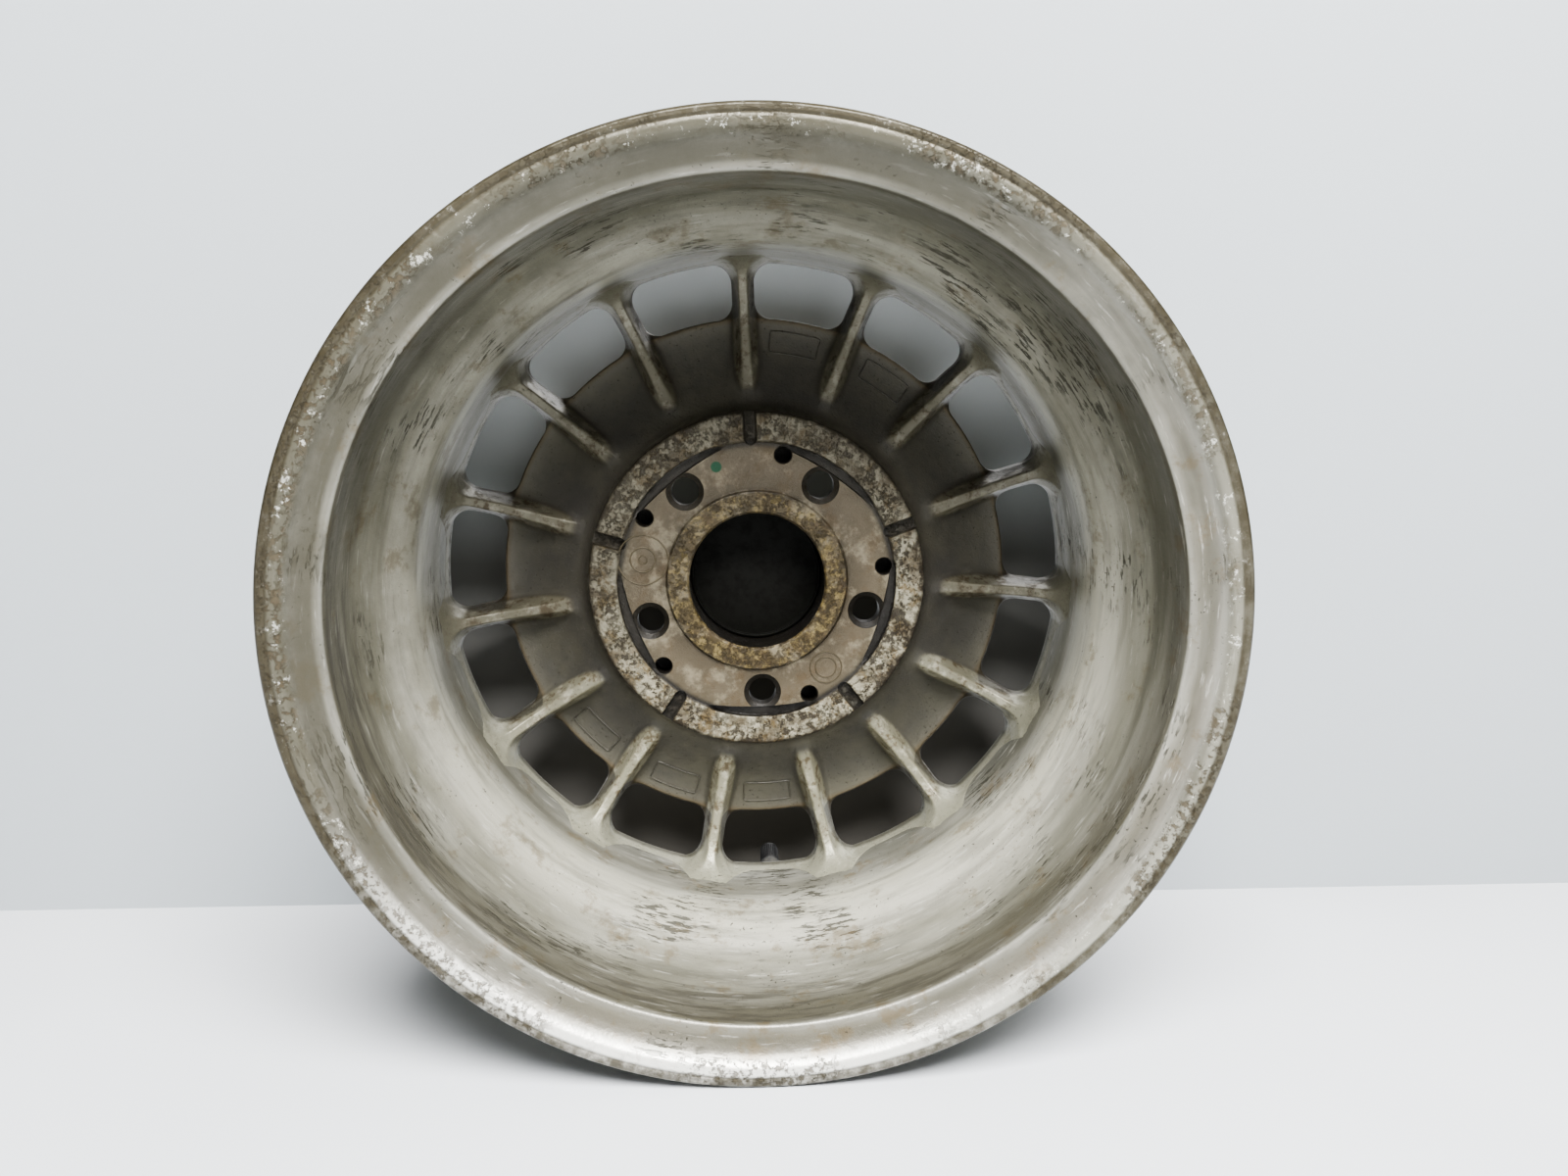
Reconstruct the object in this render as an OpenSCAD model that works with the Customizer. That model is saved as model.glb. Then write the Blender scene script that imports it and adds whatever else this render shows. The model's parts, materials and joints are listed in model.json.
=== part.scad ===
// One-piece forged aluminium road wheel with fifteen ribbed spokes, its tyre valve and its centre cap.
// The axle runs along Y: the inboard side, which bolts to the car, faces -Y and the outboard side faces +Y.
// The origin is on the axle, midway between the two bead flanges. Every module is drawn about its own Z axis,
// with +Z pointing inboard, and stand_up() turns it into the wheel's frame.

/* [Rim] */
// diameter of the seats that the tyre beads sit on
bead_seat_d = 354.8; // [330:0.1:430]
// distance between the two flanges, where the tyre beads stand
rim_width = 152.4; // [127:0.1:190]
// height of each flange above its bead seat
flange_h = 17.3; // [16.5:0.1:20]
// how far each flange reaches out past its bead
flange_reach = 12.5; // [11:0.1:15]
// depth of the drop-centre well below the bead seats
well_depth = 17.4; // [14:0.1:20]
// wall thickness under the drop-centre well
well_wall = 5; // [4:0.1:7]

/* [Hub] */
// distance from the rim's middle plane out to the face that meets the car
wheel_offset = 30; // [24:0.5:36]
// diameter of the centre bore, which sits on the car's hub spigot
bore_d = 66.5; // [56:0.1:72]
// number of wheel bolts
bolt_count = 5; // [4, 5, 6]
// diameter of the circle that the bolt holes lie on
bolt_circle_d = 112; // [108:0.5:120]
// diameter of each bolt hole
bolt_hole_d = 13.5; // [12:0.1:15]
// diameter of the whole hub pad
hub_d = 165; // [154:0.5:176]
// diameter of the raised land round the bore
inner_land_d = 88.2; // [80:0.2:92]
// inner diameter of the raised outer land
outer_land_d = 136; // [132:0.5:142]
// how deep the face between the two lands is relieved
land_relief = 1.5; // [0.5:0.1:3]
// width of the drain slots across the outer land
slot_w = 6; // [3:0.1:9]
// diameter of the small locating holes
locating_hole_d = 8.1; // [5:0.1:10]

/* [Spokes] */
// number of spokes, and of windows between them
spoke_count = 15; // [12:1:18]
// thickness of a spoke where the thin web meets it
spoke_w = 10.4; // [8:0.1:12]
// radius at the inner edge of the windows
window_in_r = 128; // [122:0.5:132]
// corner radius of the windows
window_corner_r = 8.5; // [6:0.1:9.5]
// thickness of the thin web at the windows
web_t = 7; // [5:0.1:9]

/* [Valve and cap] */
// diameter of the hole that the rubber valve snaps into
valve_hole_d = 11.5; // [11:0.1:12]
// lean of the valve towards the axle
valve_lean = 14; // [8:0.5:18]
// length of the rubber body outside the rim
valve_rubber_l = 18; // [14:0.5:20]
// how far the valve's pin moves when it is pressed
pin_travel = 1.5; // [1:0.1:1.8]
// outer diameter of the centre cap's face
cap_d = 74; // [72:0.5:78]

/* [Hidden] */
$fn = 96;
half_w = rim_width / 2;
bead_r = bead_seat_d / 2;
flange_r = bead_r + flange_h;
lip_z = half_w + flange_reach;
well_r = bead_r - well_depth;
well_in_r = well_r - well_wall;
face_z = -wheel_offset;

// flange and bead seat
nose_c = 1.5;              // corner taken off the flange's edge
curl_r = 9.3;              // rounding of the flange on the tyre side
heel_r = 6.5;              // rounding between the flange and the bead seat
seat_l = 20;               // length of the bead seat
seat_drop = 1.2;           // fall of the bead seat towards the well
hump_h = 1;                // safety hump that keeps the bead in place
seat_end_z = half_w - 31;  // where the seat falls away to the well
seat_wall = 6.2;           // wall under the bead seats
well_in_z = 12;            // inboard end of the well
well_out_z = 22;           // outboard end of the well

// ring that the spokes grow from
ring_r = well_in_r - 1.2;
ring_rear_z = -30;
ring_front_z = -55;

// web between the spokes: depths of its two faces at the hub, at the windows and at the ring
hub_r = hub_d / 2;
web_hub_z = -40;
web_window_z = -60;
web_ring_z = -46;
web_hub_t = 18;
split_r = window_in_r + 0.4 * window_corner_r;
window_gap = 0.3;          // sliver of web left beside a spoke along its windows
feather_turn = 0.6;        // keeps the windows' outer corners from thinning out to nothing
spoke_pitch = 360 / spoke_count;
spoke_phase = 92.5;
crest_w = 6.4;             // width of a spoke at its rear edge
ridge_w = 5.6;             // width of a spoke at its front edge

// hub
bore_r = bore_d / 2;
bore_l = 24;
cap_seat_r = bore_r + 0.4;
cap_seat_z = -66;
hub_front_z = -60;
bolt_phase = 56.5;
bolt_pitch = 360 / bolt_count;
bolt_seat_r = 12;
bolt_pocket_r = 15;
bolt_pocket_z = -48;
bolt_chamfer = 2.5;
slot_phase = bolt_phase + bolt_pitch / 2;
slot_depth = 3.5;
locating_r = 62.8;
locating_lead = 21.8;      // angle from a bolt hole to the next locating hole
locating_depth = 14;

// valve
valve_angle = spoke_phase + 7.5 * spoke_pitch;
valve_r = bead_r - 11.4;
valve_seat_z = ring_front_z + 11;
valve_wall = 5;
valve_spot_r = 8.5;
valve_pocket_r = 7.5;
stem_r = 3.2;
thread_r = 3.85;
thread_l = 11;
core_r = 2.5;
core_l = 7;
passage_r = 1.15;
pin_r = 0.9;
poppet_r = 1.9;
spring_r = 1.6;
spring_wire_r = 0.3;
spring_turns = 6;
chamber_r = 2.2;
stem_top = valve_wall + valve_rubber_l + thread_l;
core_top = stem_top - 2;
core_bottom = core_top - core_l;
seal_t = 0.8;
poppet_top = core_bottom - seal_t;
poppet_t = 1.2;
spring_top = poppet_top - poppet_t;
spring_l = 5;
cap_gap = 0.3;
valve_cap_r = 4.9;
valve_cap_top_t = 1.6;
washer_t = 0.8;
valve_cap_base = valve_wall + valve_rubber_l + cap_gap;

// centre cap
cap_plug_r = bore_r;
cap_back_z = -56;
cap_floor_z = -58.5;
cap_face_t = 3.5;
cap_dome = 3;
cap_wire_r = 0.8;
cap_wire_z = -62.5;

metal = [0.72, 0.71, 0.67];
worn_land = [0.80, 0.77, 0.70];
bare_land = [0.66, 0.58, 0.45];
web_grey = [0.50, 0.49, 0.46];
brass = [0.70, 0.58, 0.32];
rubber = [0.10, 0.10, 0.10];
cap_grey = [0.34, 0.35, 0.35];
steel = [0.60, 0.61, 0.62];

function spoke_name(k) = str("spoke_", k < 10 ? "0" : "", k);

// ---------- helpers ----------

module stand_up() {
    rotate([90, 0, 0]) children();
}

// Points of an arc round c, from angle a0 to angle a1.
function arc_points(c, r, a0, a1, n) =
    [for (i = [0:n]) c + r * [cos(a0 + (a1 - a0) * i / n), sin(a0 + (a1 - a0) * i / n)]];

function turned_over(points) = [for (i = [len(points) - 1:-1:0]) [points[i][0], -points[i][1]]];

// A point at radius r and angle a, moved sideways by w across the spoke's own line.
function beside(r, w, a) = [r * cos(a) - w * sin(a), r * sin(a) + w * cos(a)];

// Distance along a spoke's line at which a point w to its side has radius r.
function along(r, w) = sqrt(r * r - w * w);

// ---------- rim ----------

// The tyre's side of one flange, bead seat and hump, as radius and distance from the middle plane.
function tyre_half() = concat(
    [[flange_r - nose_c, lip_z], [flange_r, lip_z - nose_c]],
    arc_points([flange_r - curl_r, half_w + curl_r], curl_r, 0, -90, 6),
    arc_points([bead_r + heel_r, half_w - heel_r], heel_r, 90, 180, 5),
    [
        [bead_r - seat_drop, half_w - seat_l],
        [bead_r - seat_drop + hump_h, half_w - seat_l - 3.5],
        [bead_r - seat_drop - hump_h, half_w - seat_l - 8],
        [bead_r - seat_drop - 2.3 * hump_h, seat_end_z]
    ]
);

// The side that faces the axle, from the outboard lip back to the inboard lip.
function axle_side() = [
    [flange_r - 7, -lip_z],
    [bead_r + 5, -lip_z + 2.5],
    [bead_r - 5, -lip_z + 9],
    [bead_r - seat_wall - 1.2, -half_w + 6],
    [bead_r - seat_wall - 1.2, ring_front_z - 4],
    [bead_r - seat_wall - 4, ring_front_z - 1],
    [ring_r + 4, ring_front_z],
    [ring_r, ring_front_z + 1.5],
    [ring_r, ring_rear_z],
    [well_in_r, ring_rear_z + 10],
    [well_in_r, well_in_z - 2],
    [bead_r - seat_wall, seat_end_z],
    [bead_r - seat_wall, half_w],
    [bead_r - seat_wall + 0.8, lip_z - 8.5],
    [bead_r + 7, lip_z - 2.2],
    [flange_r - 6, lip_z]
];

module rim_section() {
    polygon(concat(
        tyre_half(),
        [[well_r, well_in_z], [well_r, -well_out_z]],
        turned_over(tyre_half()),
        axle_side()
    ));
}

// The part of the rim between two planes across the axle.
module rim_band(z_low, z_high) {
    rotate_extrude() intersection() {
        rim_section();
        translate([0, z_low]) square([flange_r + 1, z_high - z_low]);
    }
}

module inboard_flange() {
    color(metal) stand_up() rim_band(half_w - 4, lip_z);
}

module inboard_bead_seat() {
    color(metal) stand_up() rim_band(seat_end_z, half_w - 4);
}

module inboard_slope() {
    color(metal) stand_up() rim_band(well_in_z, seat_end_z);
}

module rim_well() {
    color(metal) stand_up() rim_band(-well_out_z, well_in_z);
}

module outboard_slope() {
    color(metal) stand_up() difference() {
        rim_band(ring_rear_z, -well_out_z);
        valve_hole();
    }
}

module spoke_ring() {
    color(metal) stand_up() difference() {
        rim_band(ring_front_z, ring_rear_z);
        valve_hole();
    }
}

module outboard_bead_seat() {
    color(metal) stand_up() difference() {
        rim_band(-half_w + 4, ring_front_z);
        valve_hole();
    }
}

module outboard_flange() {
    color(metal) stand_up() rim_band(-lip_z, -half_w + 4);
}

// ---------- hub ----------

module bolt_places() {
    for (i = [0:bolt_count - 1]) {
        rotate(bolt_phase + i * bolt_pitch) translate([bolt_circle_d / 2, 0, 0]) children();
    }
}

// A bolt's way through the hub: chamfer, hole and ball seat, then the pocket for its head.
module bolt_hole() {
    translate([0, 0, bolt_pocket_z - 20]) cylinder(h = 60, d = bolt_hole_d);
    translate([0, 0, bolt_pocket_z - 4]) sphere(r = bolt_seat_r);
    translate([0, 0, face_z - land_relief - bolt_chamfer])
        cylinder(h = bolt_chamfer, d1 = bolt_hole_d, d2 = bolt_hole_d + 2 * bolt_chamfer);
}

module bolt_pocket(past_floor = 0) {
    translate([0, 0, bolt_pocket_z - 40]) cylinder(h = 40 + past_floor, r = bolt_pocket_r);
}

module bolt_way() {
    bolt_hole();
    bolt_pocket();
}

module drain_slots() {
    for (i = [0:bolt_count - 1]) {
        rotate(slot_phase + i * bolt_pitch) translate([0, 0, face_z - slot_depth]) {
            translate([outer_land_d / 2 + 1.2, 0, 0]) cylinder(h = slot_depth + 1, d = slot_w);
            translate([outer_land_d / 2 + 1.2, -slot_w / 2, 0]) cube([hub_r, slot_w, slot_depth + 1]);
        }
    }
}

module locating_holes() {
    for (i = [0:bolt_count - 1]) {
        rotate(bolt_phase + locating_lead + i * bolt_pitch)
            translate([locating_r, 0, face_z - land_relief - locating_depth])
                cylinder(h = locating_depth + 3, d = locating_hole_d);
    }
}

module tube(r_in, r_out, z_low, z_high) {
    translate([0, 0, z_low]) difference() {
        cylinder(h = z_high - z_low, r = r_out);
        translate([0, 0, -1]) cylinder(h = z_high - z_low + 2, r = r_in);
    }
}

module hub_outer_land() {
    color(worn_land) stand_up() difference() {
        tube(outer_land_d / 2, hub_r, hub_front_z, face_z);
        bolt_places() bolt_way();
        drain_slots();
    }
}

module hub_flange() {
    color(metal) stand_up() difference() {
        tube(inner_land_d / 2, outer_land_d / 2, bolt_pocket_z, face_z - land_relief);
        bolt_places() bolt_hole();
        locating_holes();
        drain_slots();
    }
}

// The five walls between the pockets for the bolts' heads.
module hub_pocket_walls() {
    color(metal) stand_up() difference() {
        tube(inner_land_d / 2, outer_land_d / 2, hub_front_z, bolt_pocket_z);
        bolt_places() bolt_pocket(past_floor = 2);
    }
}

module hub_bore_ring() {
    color(bare_land) stand_up() difference() {
        tube(bore_r, inner_land_d / 2, cap_seat_z, face_z);
        translate([0, 0, cap_seat_z - 1]) cylinder(h = face_z - bore_l - cap_seat_z + 1, r = cap_seat_r);
        translate([0, 0, face_z - 1]) cylinder(h = 1, r1 = bore_r, r2 = bore_r + 1);
        bolt_places() bolt_way();
    }
}

// ---------- spokes and windows ----------

// Height of the web's rear face at radius r.
function web_rear(r) =
    r < window_in_r
    ? web_hub_z + (web_window_z - web_hub_z) * sin(90 * (r - hub_r) / (window_in_r - hub_r))
    : web_window_z + (web_ring_z - web_window_z) * (1 - cos(90 * (r - window_in_r) / (ring_r - window_in_r)));

// Height of the web's front face at radius r.
function web_front(r) =
    r < window_in_r
    ? web_rear(r) - web_hub_t + (web_hub_t - web_t) * sin(90 * (r - hub_r) / (window_in_r - hub_r))
    : web_rear(r) - web_t;

function web_outline(r_in, r_out, n) = concat(
    [for (i = [0:n]) let (r = r_in + (r_out - r_in) * i / n) [r, web_rear(r)]],
    [for (i = [n:-1:0]) let (r = r_in + (r_out - r_in) * i / n) [r, web_front(r)]]
);

// One window's outline between two spokes: four round corners, straight sides along the spokes. Its outer
// edge reaches a little into the ring, which closes the window with its own round wall.
module window_outline() {
    c = window_corner_r;
    half = spoke_pitch / 2;
    side = spoke_w / 2 + window_gap + c;
    in_x = along(window_in_r + c, side);
    out_x = along(ring_r - c, side);
    in_turn = half - asin(side / (window_in_r + c));
    out_turn = half - asin(side / (ring_r - c));
    for (s = [-1, 1]) {
        translate(beside(in_x, -s * side, s * half)) circle(r = c);
        translate(beside(out_x, -s * side, s * half)) circle(r = c);
    }
    polygon([
        beside(in_x, side, -half), beside(in_x, side - c, -half),
        beside(out_x, side - c, -half), beside(out_x, side, -half),
        beside(out_x, -side, half), beside(out_x, c - side, half),
        beside(in_x, c - side, half), beside(in_x, -side, half)
    ]);
    wedge(window_in_r, ring_r - c, in_turn);
    wedge(window_in_r + c, ring_r + 1, out_turn + feather_turn);
}

// The part of a flat ring within an angle to each side of +X.
module wedge(r_in, r_out, turn) {
    reach = 2 * r_out;
    intersection() {
        difference() {
            circle(r = r_out);
            circle(r = r_in);
        }
        polygon([[0, 0], reach * [cos(turn), sin(turn)], reach * [cos(turn), -sin(turn)]]);
    }
}

module window() {
    translate([0, 0, -lip_z]) linear_extrude(lip_z) window_outline();
}

// Side view of one spoke: rear crest from the hub out to the ring, then the front ridge back.
function spoke_side() = [
    [hub_r - 2, web_hub_z],
    [hub_r + 7, web_rear(hub_r + 7)],
    [hub_r + 17, -45.5],
    [window_in_r, -45.5],
    [window_in_r + 11, -43],
    [ring_r - 6, -38],
    [ring_r + 1, -31],
    [ring_r + 1, ring_front_z],
    [ring_r - 4, -66],
    [window_in_r + 10, -73],
    [window_in_r - 12, -74],
    [hub_r + 12, -68],
    [hub_r - 2, hub_front_z]
];

// Cross-section of one spoke: thin at both edges, full width where the web meets it.
function spoke_across() = [
    [-crest_w / 2, -30], [crest_w / 2, -30],
    [spoke_w / 2, -52], [spoke_w / 2, -66],
    [ridge_w / 2, -76], [-ridge_w / 2, -76],
    [-spoke_w / 2, -66], [-spoke_w / 2, -52]
];

module spoke_strip() {
    intersection() {
        rotate([90, 0, 0]) linear_extrude(2 * spoke_w, center = true) polygon(spoke_side());
        rotate([0, 0, 90]) rotate([90, 0, 0]) linear_extrude(ring_r + 5) polygon(spoke_across());
    }
}

// The web beyond the spoke's own strip, where two windows' corners leave it wider.
module spoke_root() {
    intersection() {
        rotate_extrude() polygon(web_outline(split_r, ring_r, 5));
        translate([0, 0, -lip_z]) linear_extrude(lip_z) wedge(split_r, ring_r, spoke_pitch / 2);
    }
}

module spoke(k) {
    color(metal) stand_up() rotate(spoke_phase + (k - 1) * spoke_pitch) difference() {
        intersection() {
            union() {
                spoke_strip();
                spoke_root();
            }
            tube(hub_r, ring_r, -lip_z, 0);
        }
        for (s = [-0.5, 0.5]) {
            rotate(s * spoke_pitch) window();
        }
    }
}

// The thin webs between the spokes, inside the windows: one solid for each gap.
module spoke_webs() {
    color(web_grey) stand_up() {
        for (k = [0:spoke_count - 1]) {
            rotate(spoke_phase + (k + 0.5) * spoke_pitch) spoke_web();
        }
    }
}

module spoke_web() {
    turn = spoke_pitch / 2;
    difference() {
        rotate([0, 0, -turn]) rotate_extrude(angle = spoke_pitch) polygon(web_outline(hub_r, split_r, 9));
        window();
        for (s = [-1, 1]) {
            rotate(s * turn) translate([0, -spoke_w / 2, -lip_z]) cube([ring_r, spoke_w, lip_z]);
        }
    }
}

// ---------- valve: drawn about its own axis, with +Z pointing out of the rim ----------

module at_valve() {
    rotate(valve_angle) translate([valve_r, 0, valve_seat_z]) rotate([0, 180 + valve_lean, 0]) children();
}

module valve_hole() {
    at_valve() {
        translate([0, 0, -30]) cylinder(h = 30, r = valve_spot_r);
        translate([0, 0, -1]) cylinder(h = valve_wall + 2, d = valve_hole_d);
        translate([0, 0, valve_wall]) cylinder(h = 40, r = valve_pocket_r);
    }
}

module valve_body() {
    hole_r = valve_hole_d / 2;
    color(rubber) stand_up() at_valve() rotate_extrude() polygon([
        [stem_r, -6], [4.4, -6], [6.6, -3.5], [7.6, -1], [7.6, 0], [hole_r, 0], [hole_r, valve_wall],
        [hole_r + 1.1, valve_wall], [hole_r + 1.1, valve_wall + 2], [5.7, valve_wall + 6],
        [5.3, valve_wall + valve_rubber_l], [stem_r, valve_wall + valve_rubber_l]
    ]);
}

module valve_stem() {
    color(brass) stand_up() at_valve() rotate_extrude() polygon([
        [passage_r + 0.6, -4], [stem_r, -4], [stem_r, valve_wall + valve_rubber_l],
        [thread_r, valve_wall + valve_rubber_l + 0.6], [thread_r, stem_top - 0.6], [thread_r - 0.6, stem_top],
        [core_r, stem_top], [core_r, core_bottom], [chamber_r, core_bottom],
        [chamber_r, spring_top - spring_l - pin_travel - 1],
        [passage_r + 0.6, spring_top - spring_l - pin_travel - 2]
    ]);
}

module valve_core_barrel() {
    color(brass) stand_up() at_valve() tube(passage_r, core_r, core_bottom, core_top);
}

module valve_core_seal() {
    color(rubber) stand_up() at_valve() tube(pin_r, poppet_r, poppet_top, core_bottom - 0.05);
}

module valve_core_pin() {
    color(brass) stand_up() at_valve() {
        translate([0, 0, poppet_top]) cylinder(h = stem_top - 0.3 - poppet_top, r = pin_r);
        translate([0, 0, spring_top]) cylinder(h = poppet_t, r = poppet_r);
    }
}

// Six turns of round wire, closed at both ends by the wire's own cut faces.
module valve_core_spring() {
    sides = 8;
    steps = 16 * spring_turns;
    low = spring_top - spring_l + spring_wire_r;
    rise = spring_l - 2 * spring_wire_r;
    rings = [for (i = [0:steps]) let (a = 360 * spring_turns * i / steps) [
        for (j = [0:sides - 1]) let (b = 360 * j / sides, r = spring_r + spring_wire_r * cos(b))
            [r * cos(a), r * sin(a), low + rise * i / steps + spring_wire_r * sin(b)]
    ]];
    color(steel) stand_up() at_valve() polyhedron(
        points = [for (ring = rings) each ring],
        faces = concat(
            [[for (j = [0:sides - 1]) j]],
            [for (i = [0:steps - 1], j = [0:sides - 1]) [
                i * sides + j, (i + 1) * sides + j,
                (i + 1) * sides + (j + 1) % sides, i * sides + (j + 1) % sides
            ]],
            [[for (j = [sides - 1:-1:0]) steps * sides + j]]
        )
    );
}

module valve_cap() {
    top = stem_top + cap_gap + washer_t;
    color(rubber) stand_up() at_valve() rotate_extrude() polygon([
        [thread_r + cap_gap, valve_cap_base], [valve_cap_r, valve_cap_base],
        [valve_cap_r, top + valve_cap_top_t - 1], [valve_cap_r - 1, top + valve_cap_top_t],
        [0, top + valve_cap_top_t], [0, top], [thread_r + cap_gap, top]
    ]);
}

module valve_cap_washer() {
    color(rubber) stand_up() at_valve()
        translate([0, 0, stem_top + cap_gap]) cylinder(h = washer_t, r = thread_r);
}

// ---------- centre cap ----------

// A shallow cup whose plug fills the outboard end of the bore and whose face covers its edge.
module centre_cap() {
    face_back_z = cap_seat_z - cap_gap;
    dome_z = face_back_z - cap_face_t;
    color(cap_grey) stand_up() difference() {
        rotate_extrude() polygon([
            [0, cap_floor_z], [cap_plug_r - 1.5, cap_floor_z], [cap_plug_r - 1.5, cap_back_z],
            [cap_plug_r, cap_back_z], [cap_plug_r, face_back_z], [cap_d / 2, face_back_z],
            [cap_d / 2, dome_z + 1], [cap_d / 2 - 1, dome_z], [cap_d / 2 - 9, dome_z - 0.6 * cap_dome],
            [cap_d / 4, dome_z - cap_dome], [0, dome_z - cap_dome]
        ]);
        cap_wire_ring(cap_wire_r);
    }
}

module cap_wire_ring(r) {
    translate([0, 0, cap_wire_z]) rotate_extrude() translate([cap_plug_r - 0.6, 0]) circle(r = r, $fn = 32);
}

module centre_cap_wire() {
    color(steel) stand_up() cap_wire_ring(cap_wire_r);
}

// ---------- the wheel ----------

inboard_flange();
inboard_bead_seat();
inboard_slope();
rim_well();
outboard_slope();
spoke_ring();
outboard_bead_seat();
outboard_flange();
hub_outer_land();
hub_flange();
hub_pocket_walls();
hub_bore_ring();
spoke_webs();
for (k = [1:spoke_count]) {
    spoke(k);
}
valve_body();
valve_stem();
valve_core_barrel();
valve_core_seal();
valve_core_pin();
valve_core_spring();
valve_cap();
valve_cap_washer();
centre_cap();
centre_cap_wire();
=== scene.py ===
# %% [markdown]
# # A forged road wheel, seen from the side that faces the car
#
# The wheel is one forging: a wide barrel, a hub pad with five bolt holes, and a disc of fifteen ribs
# with a window between each pair near the barrel. A rubber tyre valve sits in the barrel, and a cap closes
# the bore from the street side. The metal is old: dull silver, stained brown, crusted on its edges.
#
# The frame comes first. It holds the exact parts, and every piece made here has to fit it.

# %% Load the frame
import json
from math import asin, atan2, cos, pi, radians, sin, sqrt

import bmesh
import bpy
import numpy as np
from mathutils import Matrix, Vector

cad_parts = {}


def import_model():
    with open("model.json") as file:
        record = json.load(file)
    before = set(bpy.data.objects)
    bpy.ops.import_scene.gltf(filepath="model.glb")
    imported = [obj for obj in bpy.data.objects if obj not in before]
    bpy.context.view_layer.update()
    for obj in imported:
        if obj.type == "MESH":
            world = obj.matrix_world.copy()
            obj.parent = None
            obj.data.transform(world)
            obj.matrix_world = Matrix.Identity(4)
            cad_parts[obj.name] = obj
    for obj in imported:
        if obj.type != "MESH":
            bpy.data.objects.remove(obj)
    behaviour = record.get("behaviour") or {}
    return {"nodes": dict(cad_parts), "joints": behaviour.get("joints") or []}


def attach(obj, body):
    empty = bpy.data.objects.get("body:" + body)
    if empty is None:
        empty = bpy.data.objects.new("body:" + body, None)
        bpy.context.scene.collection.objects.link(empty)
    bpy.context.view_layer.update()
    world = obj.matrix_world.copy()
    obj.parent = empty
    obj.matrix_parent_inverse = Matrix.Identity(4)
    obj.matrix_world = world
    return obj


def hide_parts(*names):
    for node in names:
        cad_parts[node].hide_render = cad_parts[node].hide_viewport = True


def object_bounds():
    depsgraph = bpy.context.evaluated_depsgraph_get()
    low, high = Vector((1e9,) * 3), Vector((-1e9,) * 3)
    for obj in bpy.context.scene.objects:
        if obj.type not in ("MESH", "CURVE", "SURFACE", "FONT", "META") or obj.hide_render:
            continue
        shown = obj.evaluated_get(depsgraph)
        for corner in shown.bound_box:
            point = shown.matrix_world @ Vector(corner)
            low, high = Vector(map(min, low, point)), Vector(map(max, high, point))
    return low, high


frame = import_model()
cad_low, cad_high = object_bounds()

print("exact parts:", len(frame["nodes"]), "box:", [round(v, 4) for v in (*cad_low, *cad_high)])

# %% [markdown]
# ## Helpers for turned shapes
#
# Most of a wheel is turned: a line drawn beside the axle and swept round it. A line is written as corners,
# each with a rounding, so that it reads like a drawing of the part. The corner is replaced by a short curve,
# with one more point just past each end of it, which keeps the long flat faces beside it evenly shaded.
#
# A turned piece is made about the wheel's axle, or about the valve's, so the place of a point is a function.

# %% Helpers for outlines, places and meshes
MM = 0.001


def rounded(corners, steps=4, closed=True):
    """An outline of (radius, depth) points from corners of (radius, depth, rounding), in millimetres."""
    points = []
    count = len(corners)
    for i, (radius, depth, rounding) in enumerate(corners):
        here = np.array((radius, depth), float)
        if rounding == 0 or (not closed and i in (0, count - 1)):
            points.append(here)
            continue
        back = np.array(corners[i - 1][:2]) - here
        ahead = np.array(corners[(i + 1) % count][:2]) - here
        longest = 0.45 * min(np.linalg.norm(back), np.linalg.norm(ahead))
        back = back / np.linalg.norm(back) * min(rounding, longest)
        ahead = ahead / np.linalg.norm(ahead) * min(rounding, longest)
        points.append(here + 1.1 * back)
        for t in np.linspace(0, 1, steps + 1):
            points.append(here + (1 - t) ** 2 * back + t ** 2 * ahead)
        points.append(here + 1.1 * ahead)
    return np.array(points)


def about_axle(radius, depth, turn):
    """Points about the wheel's axle: depth runs along it, away from the car."""
    return np.stack([radius * np.cos(turn), depth + 0 * turn, radius * np.sin(turn)], -1) * MM


def mesh_piece(name, points, faces, sharp=40):
    """A closed, outward-facing, smooth-shaded mesh whose edges stay sharp past an angle in degrees."""
    mesh = bpy.data.meshes.new(name)
    mesh.from_pydata(np.asarray(points).reshape(-1, 3).tolist(), [], faces)
    shape = bmesh.new()
    shape.from_mesh(mesh)
    bmesh.ops.remove_doubles(shape, verts=shape.verts, dist=2e-6)
    bmesh.ops.recalc_face_normals(shape, faces=shape.faces)
    shape.to_mesh(mesh)
    shape.free()
    mesh.shade_smooth()
    mesh.set_sharp_from_angle(angle=radians(sharp))
    piece = bpy.data.objects.new(name, mesh)
    bpy.context.scene.collection.objects.link(piece)
    return piece


def turned(name, outline, place=about_axle, around=192, shaped=None, sharp=40):
    """Sweeps an outline round an axis. shaped may move each point by where it is on the turn."""
    turn = np.linspace(0, 2 * pi, around, endpoint=False)[None, :]
    radius = outline[:, :1] + 0 * turn
    depth = outline[:, 1:] + 0 * turn
    if shaped:
        radius, depth = shaped(radius, depth, turn + 0 * radius)
    rows = len(outline)
    points = place(radius, depth, turn + 0 * radius)
    faces = []
    for i in range(rows):
        nxt = (i + 1) % rows
        for j in range(around):
            k = (j + 1) % around
            faces.append((i * around + j, i * around + k, nxt * around + k, nxt * around + j))
    return mesh_piece(name, points, faces, sharp)


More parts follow.
